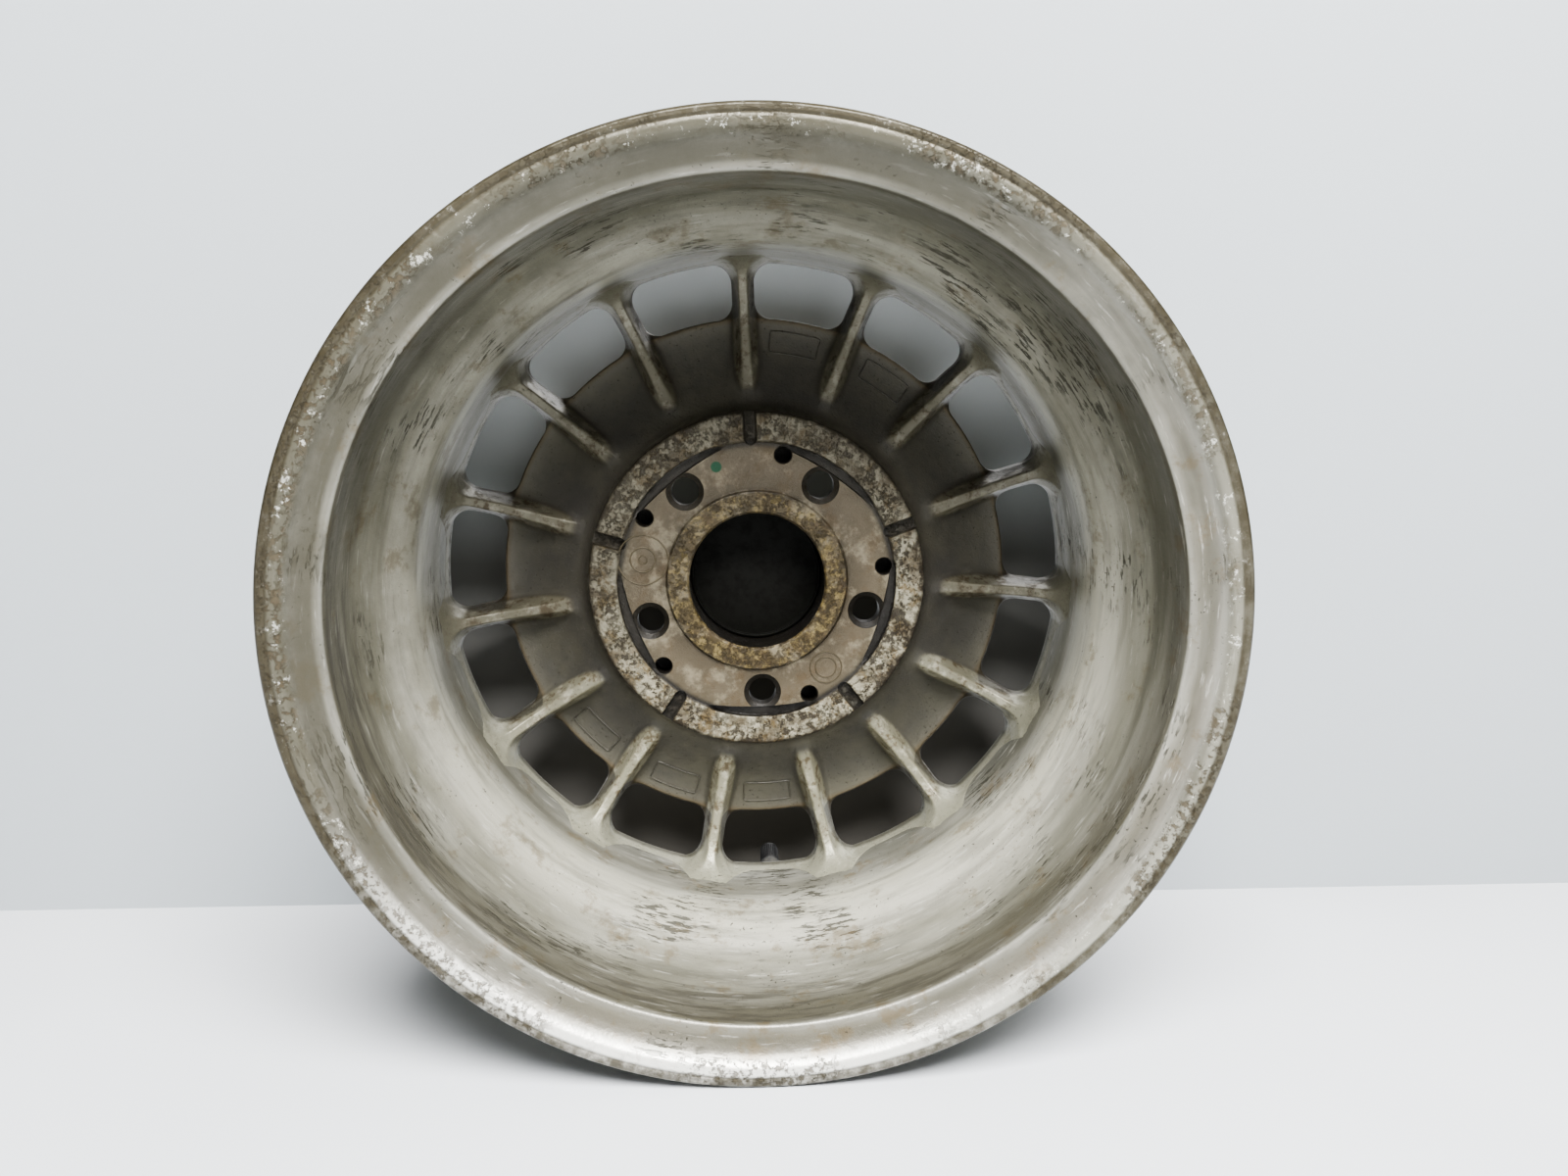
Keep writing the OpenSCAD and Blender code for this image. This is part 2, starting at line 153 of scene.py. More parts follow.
def without(piece, cutter):
    """Cuts one solid from another with an exact boolean, and returns the cut piece as a plain mesh."""
    cut = piece.modifiers.new("cut", "BOOLEAN")
    cut.operation = "DIFFERENCE"
    cut.solver = "EXACT"
    cut.object = cutter
    seen = piece.evaluated_get(bpy.context.evaluated_depsgraph_get())
    mesh = bpy.data.meshes.new_from_object(seen)
    piece.modifiers.clear()
    piece.data = mesh
    mesh.set_sharp_from_angle(angle=radians(32))
    bpy.data.objects.remove(cutter)
    return piece


def merged(name, shapes):
    """One piece from several shapes that don't touch, each given as its points and faces."""
    points, faces = [], []
    for some, corners in shapes:
        base = len(points)
        faces += [tuple(base + v for v in face) for face in corners]
        points += [tuple(p) for p in some]
    return mesh_piece(name, points, faces)


def joined(name, pieces):
    """Puts several closed pieces that don't touch into one."""
    shapes = []
    for one in pieces:
        shapes.append(([v.co[:] for v in one.data.vertices], [f.vertices[:] for f in one.data.polygons]))
        bpy.data.objects.remove(one)
    return merged(name, shapes)


# %% [markdown]
# ## The camera, the floor and the light
#
# The wheel stands on its two lips in front of a plain wall. The camera is close, a little above the axle and
# to its left, and looks down by nine degrees. The light is one wide soft panel above and in front, as in a
# product booth, so the lower barrel is bright and the upper barrel is in its own shade. The wall is only a
# backdrop: it casts no shadow, shows in no reflection and is clear from behind, and its finish is darker
# behind the wheel, where the wheel would shade a real wall.

# %% Camera, floor, wall and lights
CAMERA_PLACE = (-0.01081, -0.52967, 0.08505)
CAMERA_AIM = (0.04216, 0.98687, -0.15588)
CAMERA_LENS = 26.55      # millimetres, on a sensor 36 mm wide
camera = bpy.data.objects.new("camera", bpy.data.cameras.new("camera"))
bpy.context.scene.collection.objects.link(camera)
camera.data.sensor_width = 36.0
camera.data.lens = CAMERA_LENS
camera.location = CAMERA_PLACE
camera.rotation_mode = "QUATERNION"
camera.rotation_quaternion = Vector(CAMERA_AIM).to_track_quat("-Z", "Y")
bpy.context.scene.camera = camera

FLOOR_Z = cad_low.z - 0.0001
WALL_Y = cad_high.y + 0.012


def sheet(name, corners):
    """A flat stage sheet from four corners."""
    mesh = bpy.data.meshes.new(name)
    mesh.from_pydata(corners, [], [(0, 1, 2, 3)])
    made = bpy.data.objects.new(name, mesh)
    bpy.context.scene.collection.objects.link(made)
    return made


floor = sheet("floor", [(-4, -4, FLOOR_Z), (4, -4, FLOOR_Z), (4, 4, FLOOR_Z), (-4, 4, FLOOR_Z)])
wall = sheet("wall", [(-3, WALL_Y, FLOOR_Z), (3, WALL_Y, FLOOR_Z), (3, WALL_Y, 2.5), (-3, WALL_Y, 2.5)])
for rays in ("visible_shadow", "visible_diffuse", "visible_glossy", "visible_transmission"):
    setattr(wall, rays, False)


def soft_light(name, place, aim, size, power):
    """A square area light that faces a point."""
    lamp = bpy.data.lights.new(name, "AREA")
    lamp.shape = "RECTANGLE"
    lamp.size, lamp.size_y = size
    lamp.energy = power
    made = bpy.data.objects.new(name, lamp)
    made.location = place
    made.rotation_euler = (Vector(aim) - Vector(place)).to_track_quat("-Z", "Y").to_euler()
    bpy.context.scene.collection.objects.link(made)


soft_light("panel_above", (0.15, -0.95, 1.3), (0, 0, -0.05), (1.1, 0.8), 112)
soft_light("panel_front", (0.5, -1.6, 0.5), (0, 0, 0), (1.2, 0.9), 3)
soft_light("panel_street", (0.6, 1.5, 1.2), (0, 0, 0), (1.2, 0.9), 16)
world = bpy.data.worlds.new("studio")
bpy.context.scene.world = world
world.use_nodes = True
world.node_tree.nodes["Background"].inputs["Color"].default_value = (0.86, 0.89, 0.92, 1)
world.node_tree.nodes["Background"].inputs["Strength"].default_value = 0.14
bpy.context.scene.view_settings.look = "AgX - Medium High Contrast"
print("camera height over the floor:", round(camera.location.z - FLOOR_Z, 3), "m")

# %% [markdown]
# ## Sizes of the wheel
#
# These are the frame's own sizes in millimetres. Depth runs along the axle from the car towards the street,
# with zero midway between the two bead seats.

# %% Sizes
BARREL_R = 155.0         # inside of the well
RING_R = 153.8           # inside of the ring that the ribs grow from
HUB_R = 82.5             # hub pad
WINDOW_IN_R = 128.0
WINDOW_OUT_R = 153.7
WINDOW_CORNER = 8.5
RIB_COUNT = 15
RIB_HALF = 5.5           # from a rib's middle to the side of its window
PITCH = 2 * pi / RIB_COUNT
RIB_PHASE = radians(92.5)

# %% [markdown]
# ## The ribbed disc: one sector in plan
#
# The disc repeats every 24 degrees, so only one sector is drawn: half a rib, a window, half a rib. Two grids
# cover it. The inner one follows the ribs: its lines run at fixed distances from the rib's middle, which
# keeps the crest straight. The outer one runs round the window like the rings of an onion, so the window's
# edge can be rounded evenly. They share the points on the circle where they meet.

# %% Plan of one sector
JOIN_R = 121.5           # where the two grids meet
ROOT_R = 81.4            # inside the hub pad's side
END_R = 154.6            # inside the barrel's wall
HALF = PITCH / 2
RIB_LINES = np.array([0, 0.9, 1.7, 2.3, 2.8, 3.3, 3.9, 4.7, 5.8, 7.2, 9.0])
MIDDLE_STEPS = 5
RIB_RUNS = [(134.5, 7), (145.0, 6), (END_R, 7)]     # points along the rib's middle, up to each radius
ROOT_ROWS = [82.35, 82.5, 82.8, 83.3, 84.0, 84.9, 86.0, 87.3, 88.8]


def plan(along, aside):
    """Radius and angle off the sector's middle, from a place along and aside of the rib's middle line."""
    return np.hypot(along, aside), HALF - np.arctan2(aside, along)


def ribbed_row(radius):
    """Half a row of the inner grid on a circle, from the rib's middle to the window's."""
    near = HALF - np.arcsin(RIB_LINES / radius)
    rest = near[-1] * (1 - np.arange(1, MIDDLE_STEPS + 1) / MIDDLE_STEPS)
    turn = np.concatenate([near, rest])
    return np.stack([radius + 0 * turn, turn], -1)


def both_halves(half):
    """Mirrors half a row about the window's middle, which is its last point."""
    other = half[-2::-1] * (1, -1)
    return np.concatenate([half, other])


inner_radii = np.concatenate([[ROOT_R], ROOT_ROWS, np.linspace(90.5, JOIN_R, 19)])
inner_grid = np.array([both_halves(ribbed_row(r)) for r in inner_radii])


def window_half():
    """Half of the window's outline, from the middle of its inner end to the middle of its outer end."""
    low_r = WINDOW_IN_R + WINDOW_CORNER
    high_r = WINDOW_OUT_R - WINDOW_CORNER
    aside = RIB_HALF + WINDOW_CORNER
    low = sqrt(low_r ** 2 - aside ** 2)
    high = sqrt(high_r ** 2 - aside ** 2)
    points = []
    low_turn = HALF - asin(aside / low_r)
    for t in np.linspace(0, low_turn, MIDDLE_STEPS + 1)[:-1]:
        points.append((WINDOW_IN_R, t))
    start = -pi + atan2(aside, low)
    for a in np.linspace(start, -pi / 2, len(RIB_LINES) - 1 + 8)[:-1]:
        points.append(plan(low + WINDOW_CORNER * cos(a), aside + WINDOW_CORNER * sin(a)))
    for x in np.linspace(low, high, 7)[:-1]:
        points.append(plan(x, RIB_HALF))
    end = atan2(aside, high)
    for a in np.linspace(-pi / 2, end, 22)[:-1]:
        points.append(plan(high + WINDOW_CORNER * cos(a), aside + WINDOW_CORNER * sin(a)))
    high_turn = HALF - asin(aside / high_r)
    for t in np.linspace(high_turn, 0, MIDDLE_STEPS + 1):
        points.append((WINDOW_OUT_R, t))
    return np.array(points)


def sector_half():
    """The points on the sector's border that go with the window's: meeting circle, rib's middle, barrel."""
    points = [tuple(p) for p in ribbed_row(JOIN_R)[::-1]]
    start = JOIN_R
    for stop, count in RIB_RUNS:
        points += [(x, HALF) for x in np.linspace(start, stop, count + 1)[1:]]
        start = stop
    high_r = WINDOW_OUT_R - WINDOW_CORNER
    high_turn = HALF - asin((RIB_HALF + WINDOW_CORNER) / high_r)
    for t in np.linspace(HALF, high_turn, 15)[1:]:
        points.append((END_R, t))
    for t in np.linspace(high_turn, 0, MIDDLE_STEPS + 1)[1:]:
        points.append((END_R, t))
    return np.array(points)


window_line = window_half()
border_line = sector_half()
assert len(window_line) == len(border_line), (len(window_line), len(border_line))


def whole_ring(half):
    """Closes half an outline into a whole one, the middle points once each."""
    other = half[-2:0:-1] * (1, -1)
    return np.concatenate([half, other])


def flat(polar):
    """Plan coordinates from radius and angle."""
    return np.stack([polar[..., 0] * np.cos(polar[..., 1]), polar[..., 0] * np.sin(polar[..., 1])], -1)


EDGE_ROUND = 1.2
EDGE_ROWS = np.array([0, 0.08, 0.3, 0.7, 1.2])
REST_ROWS = 9
window_xy = flat(whole_ring(window_line))
border_xy = flat(whole_ring(border_line))
span = np.linalg.norm(border_xy - window_xy, axis=-1)
edge = EDGE_ROWS[:, None] * np.minimum(1, 0.5 * span / EDGE_ROWS[-1])
rest = np.linspace(0, 1, REST_ROWS + 1)[1:, None] * (span - edge[-1]) + edge[-1]
from_edge = np.concatenate([edge, rest])
ring_xy = window_xy + (from_edge / span)[..., None] * (border_xy - window_xy)
print("points in a sector:", inner_grid.shape[0] * inner_grid.shape[1] + ring_xy[..., 0].size)

# %% [markdown]
# ## The ribbed disc: heights
#
# Four lines drawn along the radius give the depths: the web's rear face, the rib's rear crest, the web's
# front face and the rib's front ridge. Across a rib, one curve takes the depth from crest to web: flat on
# top, steep on the flank, and easing out into the hollow pan. Near the barrel the crest widens like a
# trumpet and turns up into the barrel's wall, and at the hub the pan turns up into the pad's side.

# %% Depths of the disc's two faces


def eased(radius, line, reach=4.0):
    """Reads a bent line of (radius, depth) points with its corners rounded over a reach."""
    knots = np.array(line)
    offsets = np.linspace(-reach, reach, 9)
    return np.mean([np.interp(radius + o, knots[:, 0], knots[:, 1]) for o in offsets], axis=0)


def curl(distance, radius):
    """How far a quarter round has turned up after a distance along its base."""
    x = np.clip(distance, 0, radius * 0.995)
    return radius - np.sqrt(radius ** 2 - x ** 2)


def past(radius, turn_up):
    """The curl outside a start radius."""
    return curl(radius - turn_up[0], turn_up[1])


def before(radius, turn_up):
    """The curl inside a start radius."""
    return curl(turn_up[0] - radius, turn_up[1])


# A start radius and a rounding: the pan turns up into the hub pad, and the disc into the barrel.
PAN_ROOT = (88.0, 5.6)
DISC_END = (146.8, 7.6)
# The same for the crest, which widens at its top and at its foot before it meets the barrel.
CREST_FLARE = (145.5, 8.0)
FOOT_FLARE = (144.5, 9.0)
CREST_HALF = 1.7         # half of the crest's flat top
CREST_FOOT = 7.0         # from there down to the pan
RIDGE_HALF = 2.2
RIDGE_FOOT = 5.5


def web_rear(radius):
    """Depth of the pans: a quarter wave out to the windows and another on to the barrel."""
    u = np.clip((radius - HUB_R) / (WINDOW_IN_R - HUB_R), 0, 1)
    v = np.clip((radius - WINDOW_IN_R) / (RING_R - WINDOW_IN_R), 0, 1)
    return 40 + 20 * np.sin(pi / 2 * u) - 14 * (1 - np.cos(pi / 2 * v))


def web_front(radius):
    """The web's street face: the web is 18 mm thick at the hub and 7 mm at the windows."""
    return web_rear(radius) + np.interp(radius, [HUB_R, WINDOW_IN_R], [18, 7])


CREST = [(70, 38), (89.5, 44.6), (99.5, 45.5), (128, 45.3), (139, 42.8), (147.8, 38), (154.8, 31.5),
         (162, 25)]
RIDGE = [(70, 57), (82, 61), (94.5, 68), (116, 73.5), (138, 72.5), (149.8, 66), (154.8, 57),
         (160, 52)]


def across(aside, flat_half, foot):
    """0 on the rib's crest, 1 on the web, with a rounded shoulder and a long foot."""
    g = np.clip((aside - flat_half) / foot, 0, 1)
    soft = 0.22
    g = (np.sqrt(g ** 2 + soft ** 2) - soft) / (sqrt(1 + soft ** 2) - soft)
    return 1 - (1 - g) ** 2.8


def rear_depth(radius, aside):
    """The car's side of the disc: pans, crests, and the flare of each crest at the barrel."""
    web = web_rear(radius)
    stands = web - eased(radius, CREST)
    stands = 0.5 * (stands + np.sqrt(stands ** 2 + 1.5)) - 0.12
    flat_half = CREST_HALF + past(radius, CREST_FLARE)
    foot = CREST_FOOT + 2.5 * np.clip((WINDOW_IN_R - radius) / 30, 0, 1) + 1.3 * past(radius, FOOT_FLARE)
    depth = web - stands * (1 - across(aside, flat_half, foot))
    return depth - before(radius, PAN_ROOT) - past(radius, DISC_END)


def front_depth(radius, aside):
    """The street's side of the disc: a flat web with a narrow ridge along each rib."""
    web = web_front(radius)
    stands = eased(radius, RIDGE) - web
    stands = 0.5 * (stands + np.sqrt(stands ** 2 + 1.0))
    return web + stands * (1 - across(aside, RIDGE_HALF, RIDGE_FOOT))


def face_points(polar, depth, off_edge=None, inwards=0):
    """Places a plan grid at a depth function, with its window edge rounded inwards."""
    radius = polar[..., 0]
    aside = radius * np.sin(HALF - np.abs(polar[..., 1]))
    deep = depth(np.maximum(radius, ROOT_ROWS[0]), aside)
    if off_edge is not None:
        near = np.clip(EDGE_ROUND - off_edge, 0, EDGE_ROUND)
        deep = deep + inwards * curl(near, EDGE_ROUND)
    return about_axle(radius, deep, polar[..., 1])


ring_x, ring_y = ring_xy[..., 0], ring_xy[..., 1]
ring_polar = np.stack([np.hypot(ring_x, ring_y), np.arctan2(ring_y, ring_x)], -1)

# %% [markdown]
# ## The ribbed disc: the sector's mesh, repeated by Geometry Nodes
#
# The sector is stitched from four grids, the window's wall and the two hidden closing walls. A small tree of
# Geometry Nodes then stands fifteen copies round the axle, makes them real, and welds them into one closed
# shell. Repeating by nodes keeps the count as a named input, so a twelve-rib disc is one number away.

# %% Stitch one sector


def grid_faces(first, rows, columns, wrap=False):
    """Quads between the rows of a grid whose points start at an index."""
    faces = []
    for i in range(rows - 1):
        for j in range(columns if wrap else columns - 1):
            k = (j + 1) % columns
            a = first + i * columns
            faces.append((a + j, a + k, a + columns + k, a + columns + j))
    return faces


def sector_mesh():
    """Points and quads of one sector: two faces of two grids each, the window's wall and the end walls."""
    blocks = [
        (face_points(inner_grid, rear_depth), False),
        (face_points(inner_grid, front_depth), False),
        (face_points(ring_polar, rear_depth, from_edge, 1), True),
        (face_points(ring_polar, front_depth, from_edge, -1), True),
    ]
    rear_edge, front_edge = blocks[2][0][0], blocks[3][0][0]
    steps = np.array([0, 0.12, 0.88, 1])[:, None, None]
    blocks.append((rear_edge + steps * (front_edge - rear_edge), True))
    blocks.append((np.stack([blocks[0][0][0], blocks[1][0][0]]), False))
    corner = len(RIB_LINES) + MIDDLE_STEPS - 1 + sum(count for _, count in RIB_RUNS)
    outer_end = slice(corner, ring_polar.shape[1] - corner + 1)
    blocks.append((np.stack([blocks[2][0][-1][outer_end], blocks[3][0][-1][outer_end]]), False))
    points, faces = [], []
    for block, wrap in blocks:
        faces += grid_faces(len(points), block.shape[0], block.shape[1], wrap)
        points += block.reshape(-1, 3).tolist()
    return points, faces


points, faces = sector_mesh()
sector = mesh_piece("rib_sector", points, faces)
print("one sector:", len(sector.data.polygons), "faces")

# %% Repeat it with Geometry Nodes


def add(tree, kind, settings=None, inputs=None):
    """Adds a node, sets its properties, and sets or links its inputs."""
    made = tree.nodes.new(kind)
    for name, value in (settings or {}).items():
        setattr(made, name, value)
    for name, value in (inputs or {}).items():
        if isinstance(value, bpy.types.NodeSocket):
            tree.links.new(value, made.inputs[name])
        else:
            made.inputs[name].default_value = value
    return made


def node_group(name, numbers):
    """An empty Geometry Nodes tree with a geometry in and out and named number inputs."""
    tree = bpy.data.node_groups.new(name, "GeometryNodeTree")
    tree.interface.new_socket("Geometry", in_out="INPUT", socket_type="NodeSocketGeometry")
    for label, kind in numbers.items():
        tree.interface.new_socket(label, in_out="INPUT", socket_type=kind)
    tree.interface.new_socket("Geometry", in_out="OUTPUT", socket_type="NodeSocketGeometry")
    return tree, add(tree, "NodeGroupInput"), add(tree, "NodeGroupOutput")


def round_the_axle():
    """Copies of the geometry that comes in, turned about the axle, welded, and given a material."""
    tree, start, end = node_group("round_the_axle", {
        "Count": "NodeSocketInt",
        "Weld distance": "NodeSocketFloat",
        "Material": "NodeSocketMaterial",
    })
    sites = add(tree, "GeometryNodeMeshLine", {"mode": "OFFSET"},
                {"Count": start.outputs["Count"], "Offset": (0, 0, 0)})
    index = add(tree, "GeometryNodeInputIndex")
    pitch = add(tree, "ShaderNodeMath", {"operation": "DIVIDE"}, {0: 2 * pi, 1: start.outputs["Count"]})
    turn = add(tree, "ShaderNodeMath", {"operation": "MULTIPLY"},
               {0: index.outputs[0], 1: pitch.outputs[0]})
    angles = add(tree, "ShaderNodeCombineXYZ", None, {"Y": turn.outputs[0]})
    copies = add(tree, "GeometryNodeInstanceOnPoints", None, {
        "Points": sites.outputs[0],
        "Instance": start.outputs["Geometry"],
        "Rotation": angles.outputs[0],
    })
    real = add(tree, "GeometryNodeRealizeInstances", None, {"Geometry": copies.outputs[0]})
    welded = add(tree, "GeometryNodeMergeByDistance", None,
                 {"Geometry": real.outputs[0], "Distance": start.outputs["Weld distance"]})
    painted = add(tree, "GeometryNodeSetMaterial", None,
                  {"Geometry": welded.outputs[0], "Material": start.outputs["Material"]})
    tree.links.new(painted.outputs[0], end.inputs[0])
    return tree


def run_nodes(piece, tree, values):
    """Runs a tree on a piece and leaves the plain mesh that comes out."""
    modifier = piece.modifiers.new(tree.name, "NODES")
    modifier.node_group = tree
    for item in tree.interface.items_tree:
        if item.in_out == "INPUT" and item.name in values:
            modifier[item.identifier] = values[item.name]
    seen = piece.evaluated_get(bpy.context.evaluated_depsgraph_get())
    mesh = bpy.data.meshes.new_from_object(seen)
    piece.modifiers.clear()
    piece.data = mesh
    return piece


def turned_mesh(piece, angle):
    """Turns a piece's points about the axle, its object staying where it is."""
    c, s = cos(angle), sin(angle)
    for v in piece.data.vertices:
        x, y, z = v.co
        v.co = (c * x - s * z, y, s * x + c * z)


disc_paint = bpy.data.materials.new("aged_silver_disc")
turned_mesh(sector, RIB_PHASE + HALF)
disc = run_nodes(sector, round_the_axle(),
                 {"Count": RIB_COUNT, "Weld distance": 5e-6, "Material": disc_paint})
disc.name = "ribbed_disc"
tidy = bmesh.new()
tidy.from_mesh(disc.data)
bmesh.ops.recalc_face_normals(tidy, faces=tidy.faces)
open_edges = sum(1 for e in tidy.edges if not e.is_manifold)
tidy.to_mesh(disc.data)
tidy.free()
disc.data.shade_smooth()
disc.data.set_sharp_from_angle(angle=radians(60))
print("ribbed disc:", len(disc.data.polygons), "faces,", open_edges, "open edges")

# %% [markdown]
# ## Where the ribs have been rubbed
#
# Hands and cloths reach the crests and not the pans, so the finish needs to know how far a point stands out
# of the web. That number is worked out for each point and kept on the mesh as an attribute.

# %% Store how far each point stands out


def store_rubbed(piece):
    """Writes the attribute 'rubbed': 0 in the pans, 1 on the crests and ridges."""
    count = len(piece.data.vertices)
    place = np.empty(count * 3)
    piece.data.vertices.foreach_get("co", place)
    place = place.reshape(-1, 3) / MM
    radius = np.hypot(place[:, 0], place[:, 2])
    rear = web_rear(radius) - before(radius, PAN_ROOT) - place[:, 1]
    front = place[:, 1] - web_front(radius)
    rubbed = np.clip(np.maximum(rear - 1.0, front - 1.0) / 4.0, 0, 1)
    piece.data.attributes.new("rubbed", "FLOAT", "POINT").data.foreach_set("value", rubbed)


store_rubbed(disc)

# %% [markdown]
# ## Blank frames and rings on the pans and the hub
#
# Five of the pans carry a small raised frame left by the die, here with nothing in it, and the hub pad has
# two raised rings. Each is a thin rounded bead that follows the surface under it, so its shadow is real.

# %% Raised beads
BEAD_SECTION = [(-0.65, 0.35), (-0.42, -0.22), (-0.15, -0.34), (0.15, -0.34), (0.42, -0.22), (0.65, 0.35)]


def bead(path, depth_at, width=1.0, height=1.0):
    """A closed bead along a closed plan path of (x, z) points in millimetres."""
    path = np.array(path)
    ahead = np.roll(path, -1, 0) - np.roll(path, 1, 0)
    ahead /= np.linalg.norm(ahead, axis=1)[:, None]
    aside = np.stack([-ahead[:, 1], ahead[:, 0]], -1)
    rows = []
    for across_mm, sink_mm in BEAD_SECTION:
        xz = path + aside * across_mm * width
        rows.append(np.stack([xz[:, 0], depth_at(xz) + sink_mm * height, xz[:, 1]], -1) * MM)
    rows = np.array(rows)
    faces = grid_faces(0, len(rows), len(path), True)
    last = (len(rows) - 1) * len(path)
    for j in range(len(path)):
        k = (j + 1) % len(path)
        faces.append((last + j, last + k, k, j))
    return rows.reshape(-1, 3), faces


def pan_depth(xz):
    """Depth of the disc's rear face under plan points."""
    radius = np.hypot(xz[:, 0], xz[:, 1])
    turn = np.arctan2(xz[:, 1], xz[:, 0]) - RIB_PHASE
    off = np.abs((turn + HALF) % PITCH - HALF)
    return rear_depth(radius, radius * np.sin(off))


def pan_frame(middle, low_r=111.5, high_r=122.0, half_turn=radians(6.0)):
    """A frame with rounded corners between two radii."""
    high_turn = half_turn * 0.98
    corners = [(low_r, -half_turn), (low_r, half_turn), (high_r, high_turn), (high_r, -high_turn)]
    path = []
    for i in range(4):
        a, b = corners[i], corners[(i + 1) % 4]
        for t in np.linspace(0.04, 0.96, 14):
            radius = a[0] + (b[0] - a[0]) * t
            turn = middle + a[1] + (b[1] - a[1]) * t
            path.append((radius * cos(turn), radius * sin(turn)))
    return bead(path, pan_depth, 0.85, 2.0)


def circle_bead(radius, turn, size, depth, width=0.7, height=1.2):
    """A round bead on a flat face."""
    middle = (radius * cos(turn), radius * sin(turn))
    path = [(middle[0] + size * cos(t), middle[1] + size * sin(t)) for t in np.linspace(0, 2 * pi, 49)[:-1]]
    return bead(path, lambda xz: depth + 0 * xz[:, 0], width, height)


RECESS_DEPTH = 31.5
FRAME_TURNS = (80.5, 56.5, 224.5, 248.5, 272.5)      # degrees
frames = merged("blank_pan_frames", [pan_frame(radians(a)) for a in FRAME_TURNS])
rings = merged("blank_hub_rings", [
    circle_bead(56.7, radians(169.1), 12.2, RECESS_DEPTH),
    circle_bead(56.7, radians(169.1), 6.1, RECESS_DEPTH),
    circle_bead(56.7, radians(169.1), 2.0, RECESS_DEPTH, 0.6),
    circle_bead(55.3, radians(307.9), 7.9, RECESS_DEPTH, 0.6),
    circle_bead(55.3, radians(307.9), 5.2, RECESS_DEPTH, 0.5),
])
print("beads:", len(frames.data.polygons) + len(rings.data.polygons), "faces")

# %% [markdown]
# ## The barrel
#
# One closed outline, drawn on both sides of the wall: lip, rounded bead seats and hump on the tyre's side,
# and the long smooth hollow on the axle's side. The car-side lip is rounded over, with a hollow face behind
# it and a worn ridge where that face meets the barrel. The valve's hole and its two spotfaces are cut last.

# %% Barrel outline and its turning
LIP = 88.7
FLANGE_R = 194.7
FLANGE_CURL = (185.4, 85.5, 9.3)         # an arc's middle, as radius and depth, and its own radius
SEAT_HEEL = (183.9, 69.7, 6.5)


def arc(middle_r, middle_depth, size, start, end, count):
    """Outline corners along an arc between two angles."""
    turns = np.linspace(start, end, count)
    return [(middle_r + size * cos(a), middle_depth + size * sin(a), 0) for a in turns]


def tyre_side(sign):
    """The tyre's side of one half of the rim, from its lip towards the well."""
    corners = [(193.4, LIP, 0.4), (FLANGE_R, LIP - 1.3, 0.6)]
    corners += arc(*FLANGE_CURL, 0, -pi / 2, 9) + arc(*SEAT_HEEL, pi / 2, pi, 8)
    corners += [(176.2, 56.2, 2), (177.2, 52.7, 2), (175.2, 48.2, 2), (173.9, 45.2, 2)]
    return [(r, sign * d, f) for r, d, f in corners]


CAR_SIDE = [
    (BARREL_R, -10, 5), (163.5, -28, 4), (171.0, -45.2, 4), (171.2, -76.5, 1.2), (171.7, -79.6, 0.8),
    (172.7, -80.3, 0.7), (174.2, -80.5, 1.5), (178.5, -82.0, 4), (182.5, -84.2, 2), (184.6, -86.6, 1.0),
    (186.3, -88.2, 1.2), (189.0, -88.7, 1.0), (190.6, -88.2, 0.5), (191.4, -88.7, 0.4),
]
STREET_SIDE = [
    (187.7, LIP, 0.8), (182.4, 86.2, 2), (172.4, 79.7, 2), (170.0, 70.2, 2), (170.0, 59.0, 2),
    (167.2, 56.0, 1), (157.8, 55.0, 1), (RING_R, 53.5, 0.8), (RING_R, 30, 3), (BARREL_R, 20, 3),
]
corners = (
    tyre_side(-1) + [(160.0, -12, 4), (160.0, 22, 4)] + tyre_side(1)[::-1]
    + STREET_SIDE + CAR_SIDE
)
barrel_line = rounded(corners)
barrel = turned("wheel_barrel", barrel_line, around=288)

# %% [markdown]
# ## The valve's axis, and the hole it sits in
#
# The valve leans by fourteen degrees, so its parts are turned about their own axis. The axis direction comes
# from the frame's joint for the dust cap, and the point where it starts is the valve's seat in the wall.

# %% Valve axis and its hole
cap_joint = next(j for j in frame["joints"] if j["child"] == "valve_cap")
valve_axis = np.array(cap_joint["axis"]) / np.linalg.norm(cap_joint["axis"])
VALVE_TURN = radians(272.5)
VALVE_SEAT_R = 166.0
VALVE_SEAT_DEPTH = 44.0
valve_base = about_axle(*np.array((VALVE_SEAT_R, VALVE_SEAT_DEPTH, VALVE_TURN)))
valve_side = np.cross(valve_axis, (1.0, 0, 0))
valve_side /= np.linalg.norm(valve_side)
valve_cross = np.cross(valve_axis, valve_side)


def about_valve(radius, depth, turn):
    """Points about the valve's axis: depth runs out of the rim, from the valve's seat."""
    out = depth[..., None] * valve_axis
    round_it = np.cos(turn)[..., None] * valve_side + np.sin(turn)[..., None] * valve_cross
    return valve_base + (out + radius[..., None] * round_it) * MM


def plug(name, outline, place=about_axle, around=48):
    """A turned cutter."""
    return turned(name, np.array(outline, float), place, around)


barrel = without(barrel, plug("valve_way", [
    (0, -24), (8.5, -24), (8.5, 0), (5.75, 0), (5.75, 5), (7.5, 5), (7.5, 34), (0, 34),
], about_valve))
print("barrel:", len(barrel.data.polygons), "faces")

# %% [markdown]
# ## The hub pad
#
# Also turned: a narrow rubbed land round the bore, a shallow recess with the bolt holes, and a wide outer
# land that was never machined. Its inner wall is sharp beside each bolt hole, where a cutter passed, and
# runs out softly between them, so the turning moves those points by their angle. Five bolt ways, five small
# locating holes and five drain slots are cut from it.

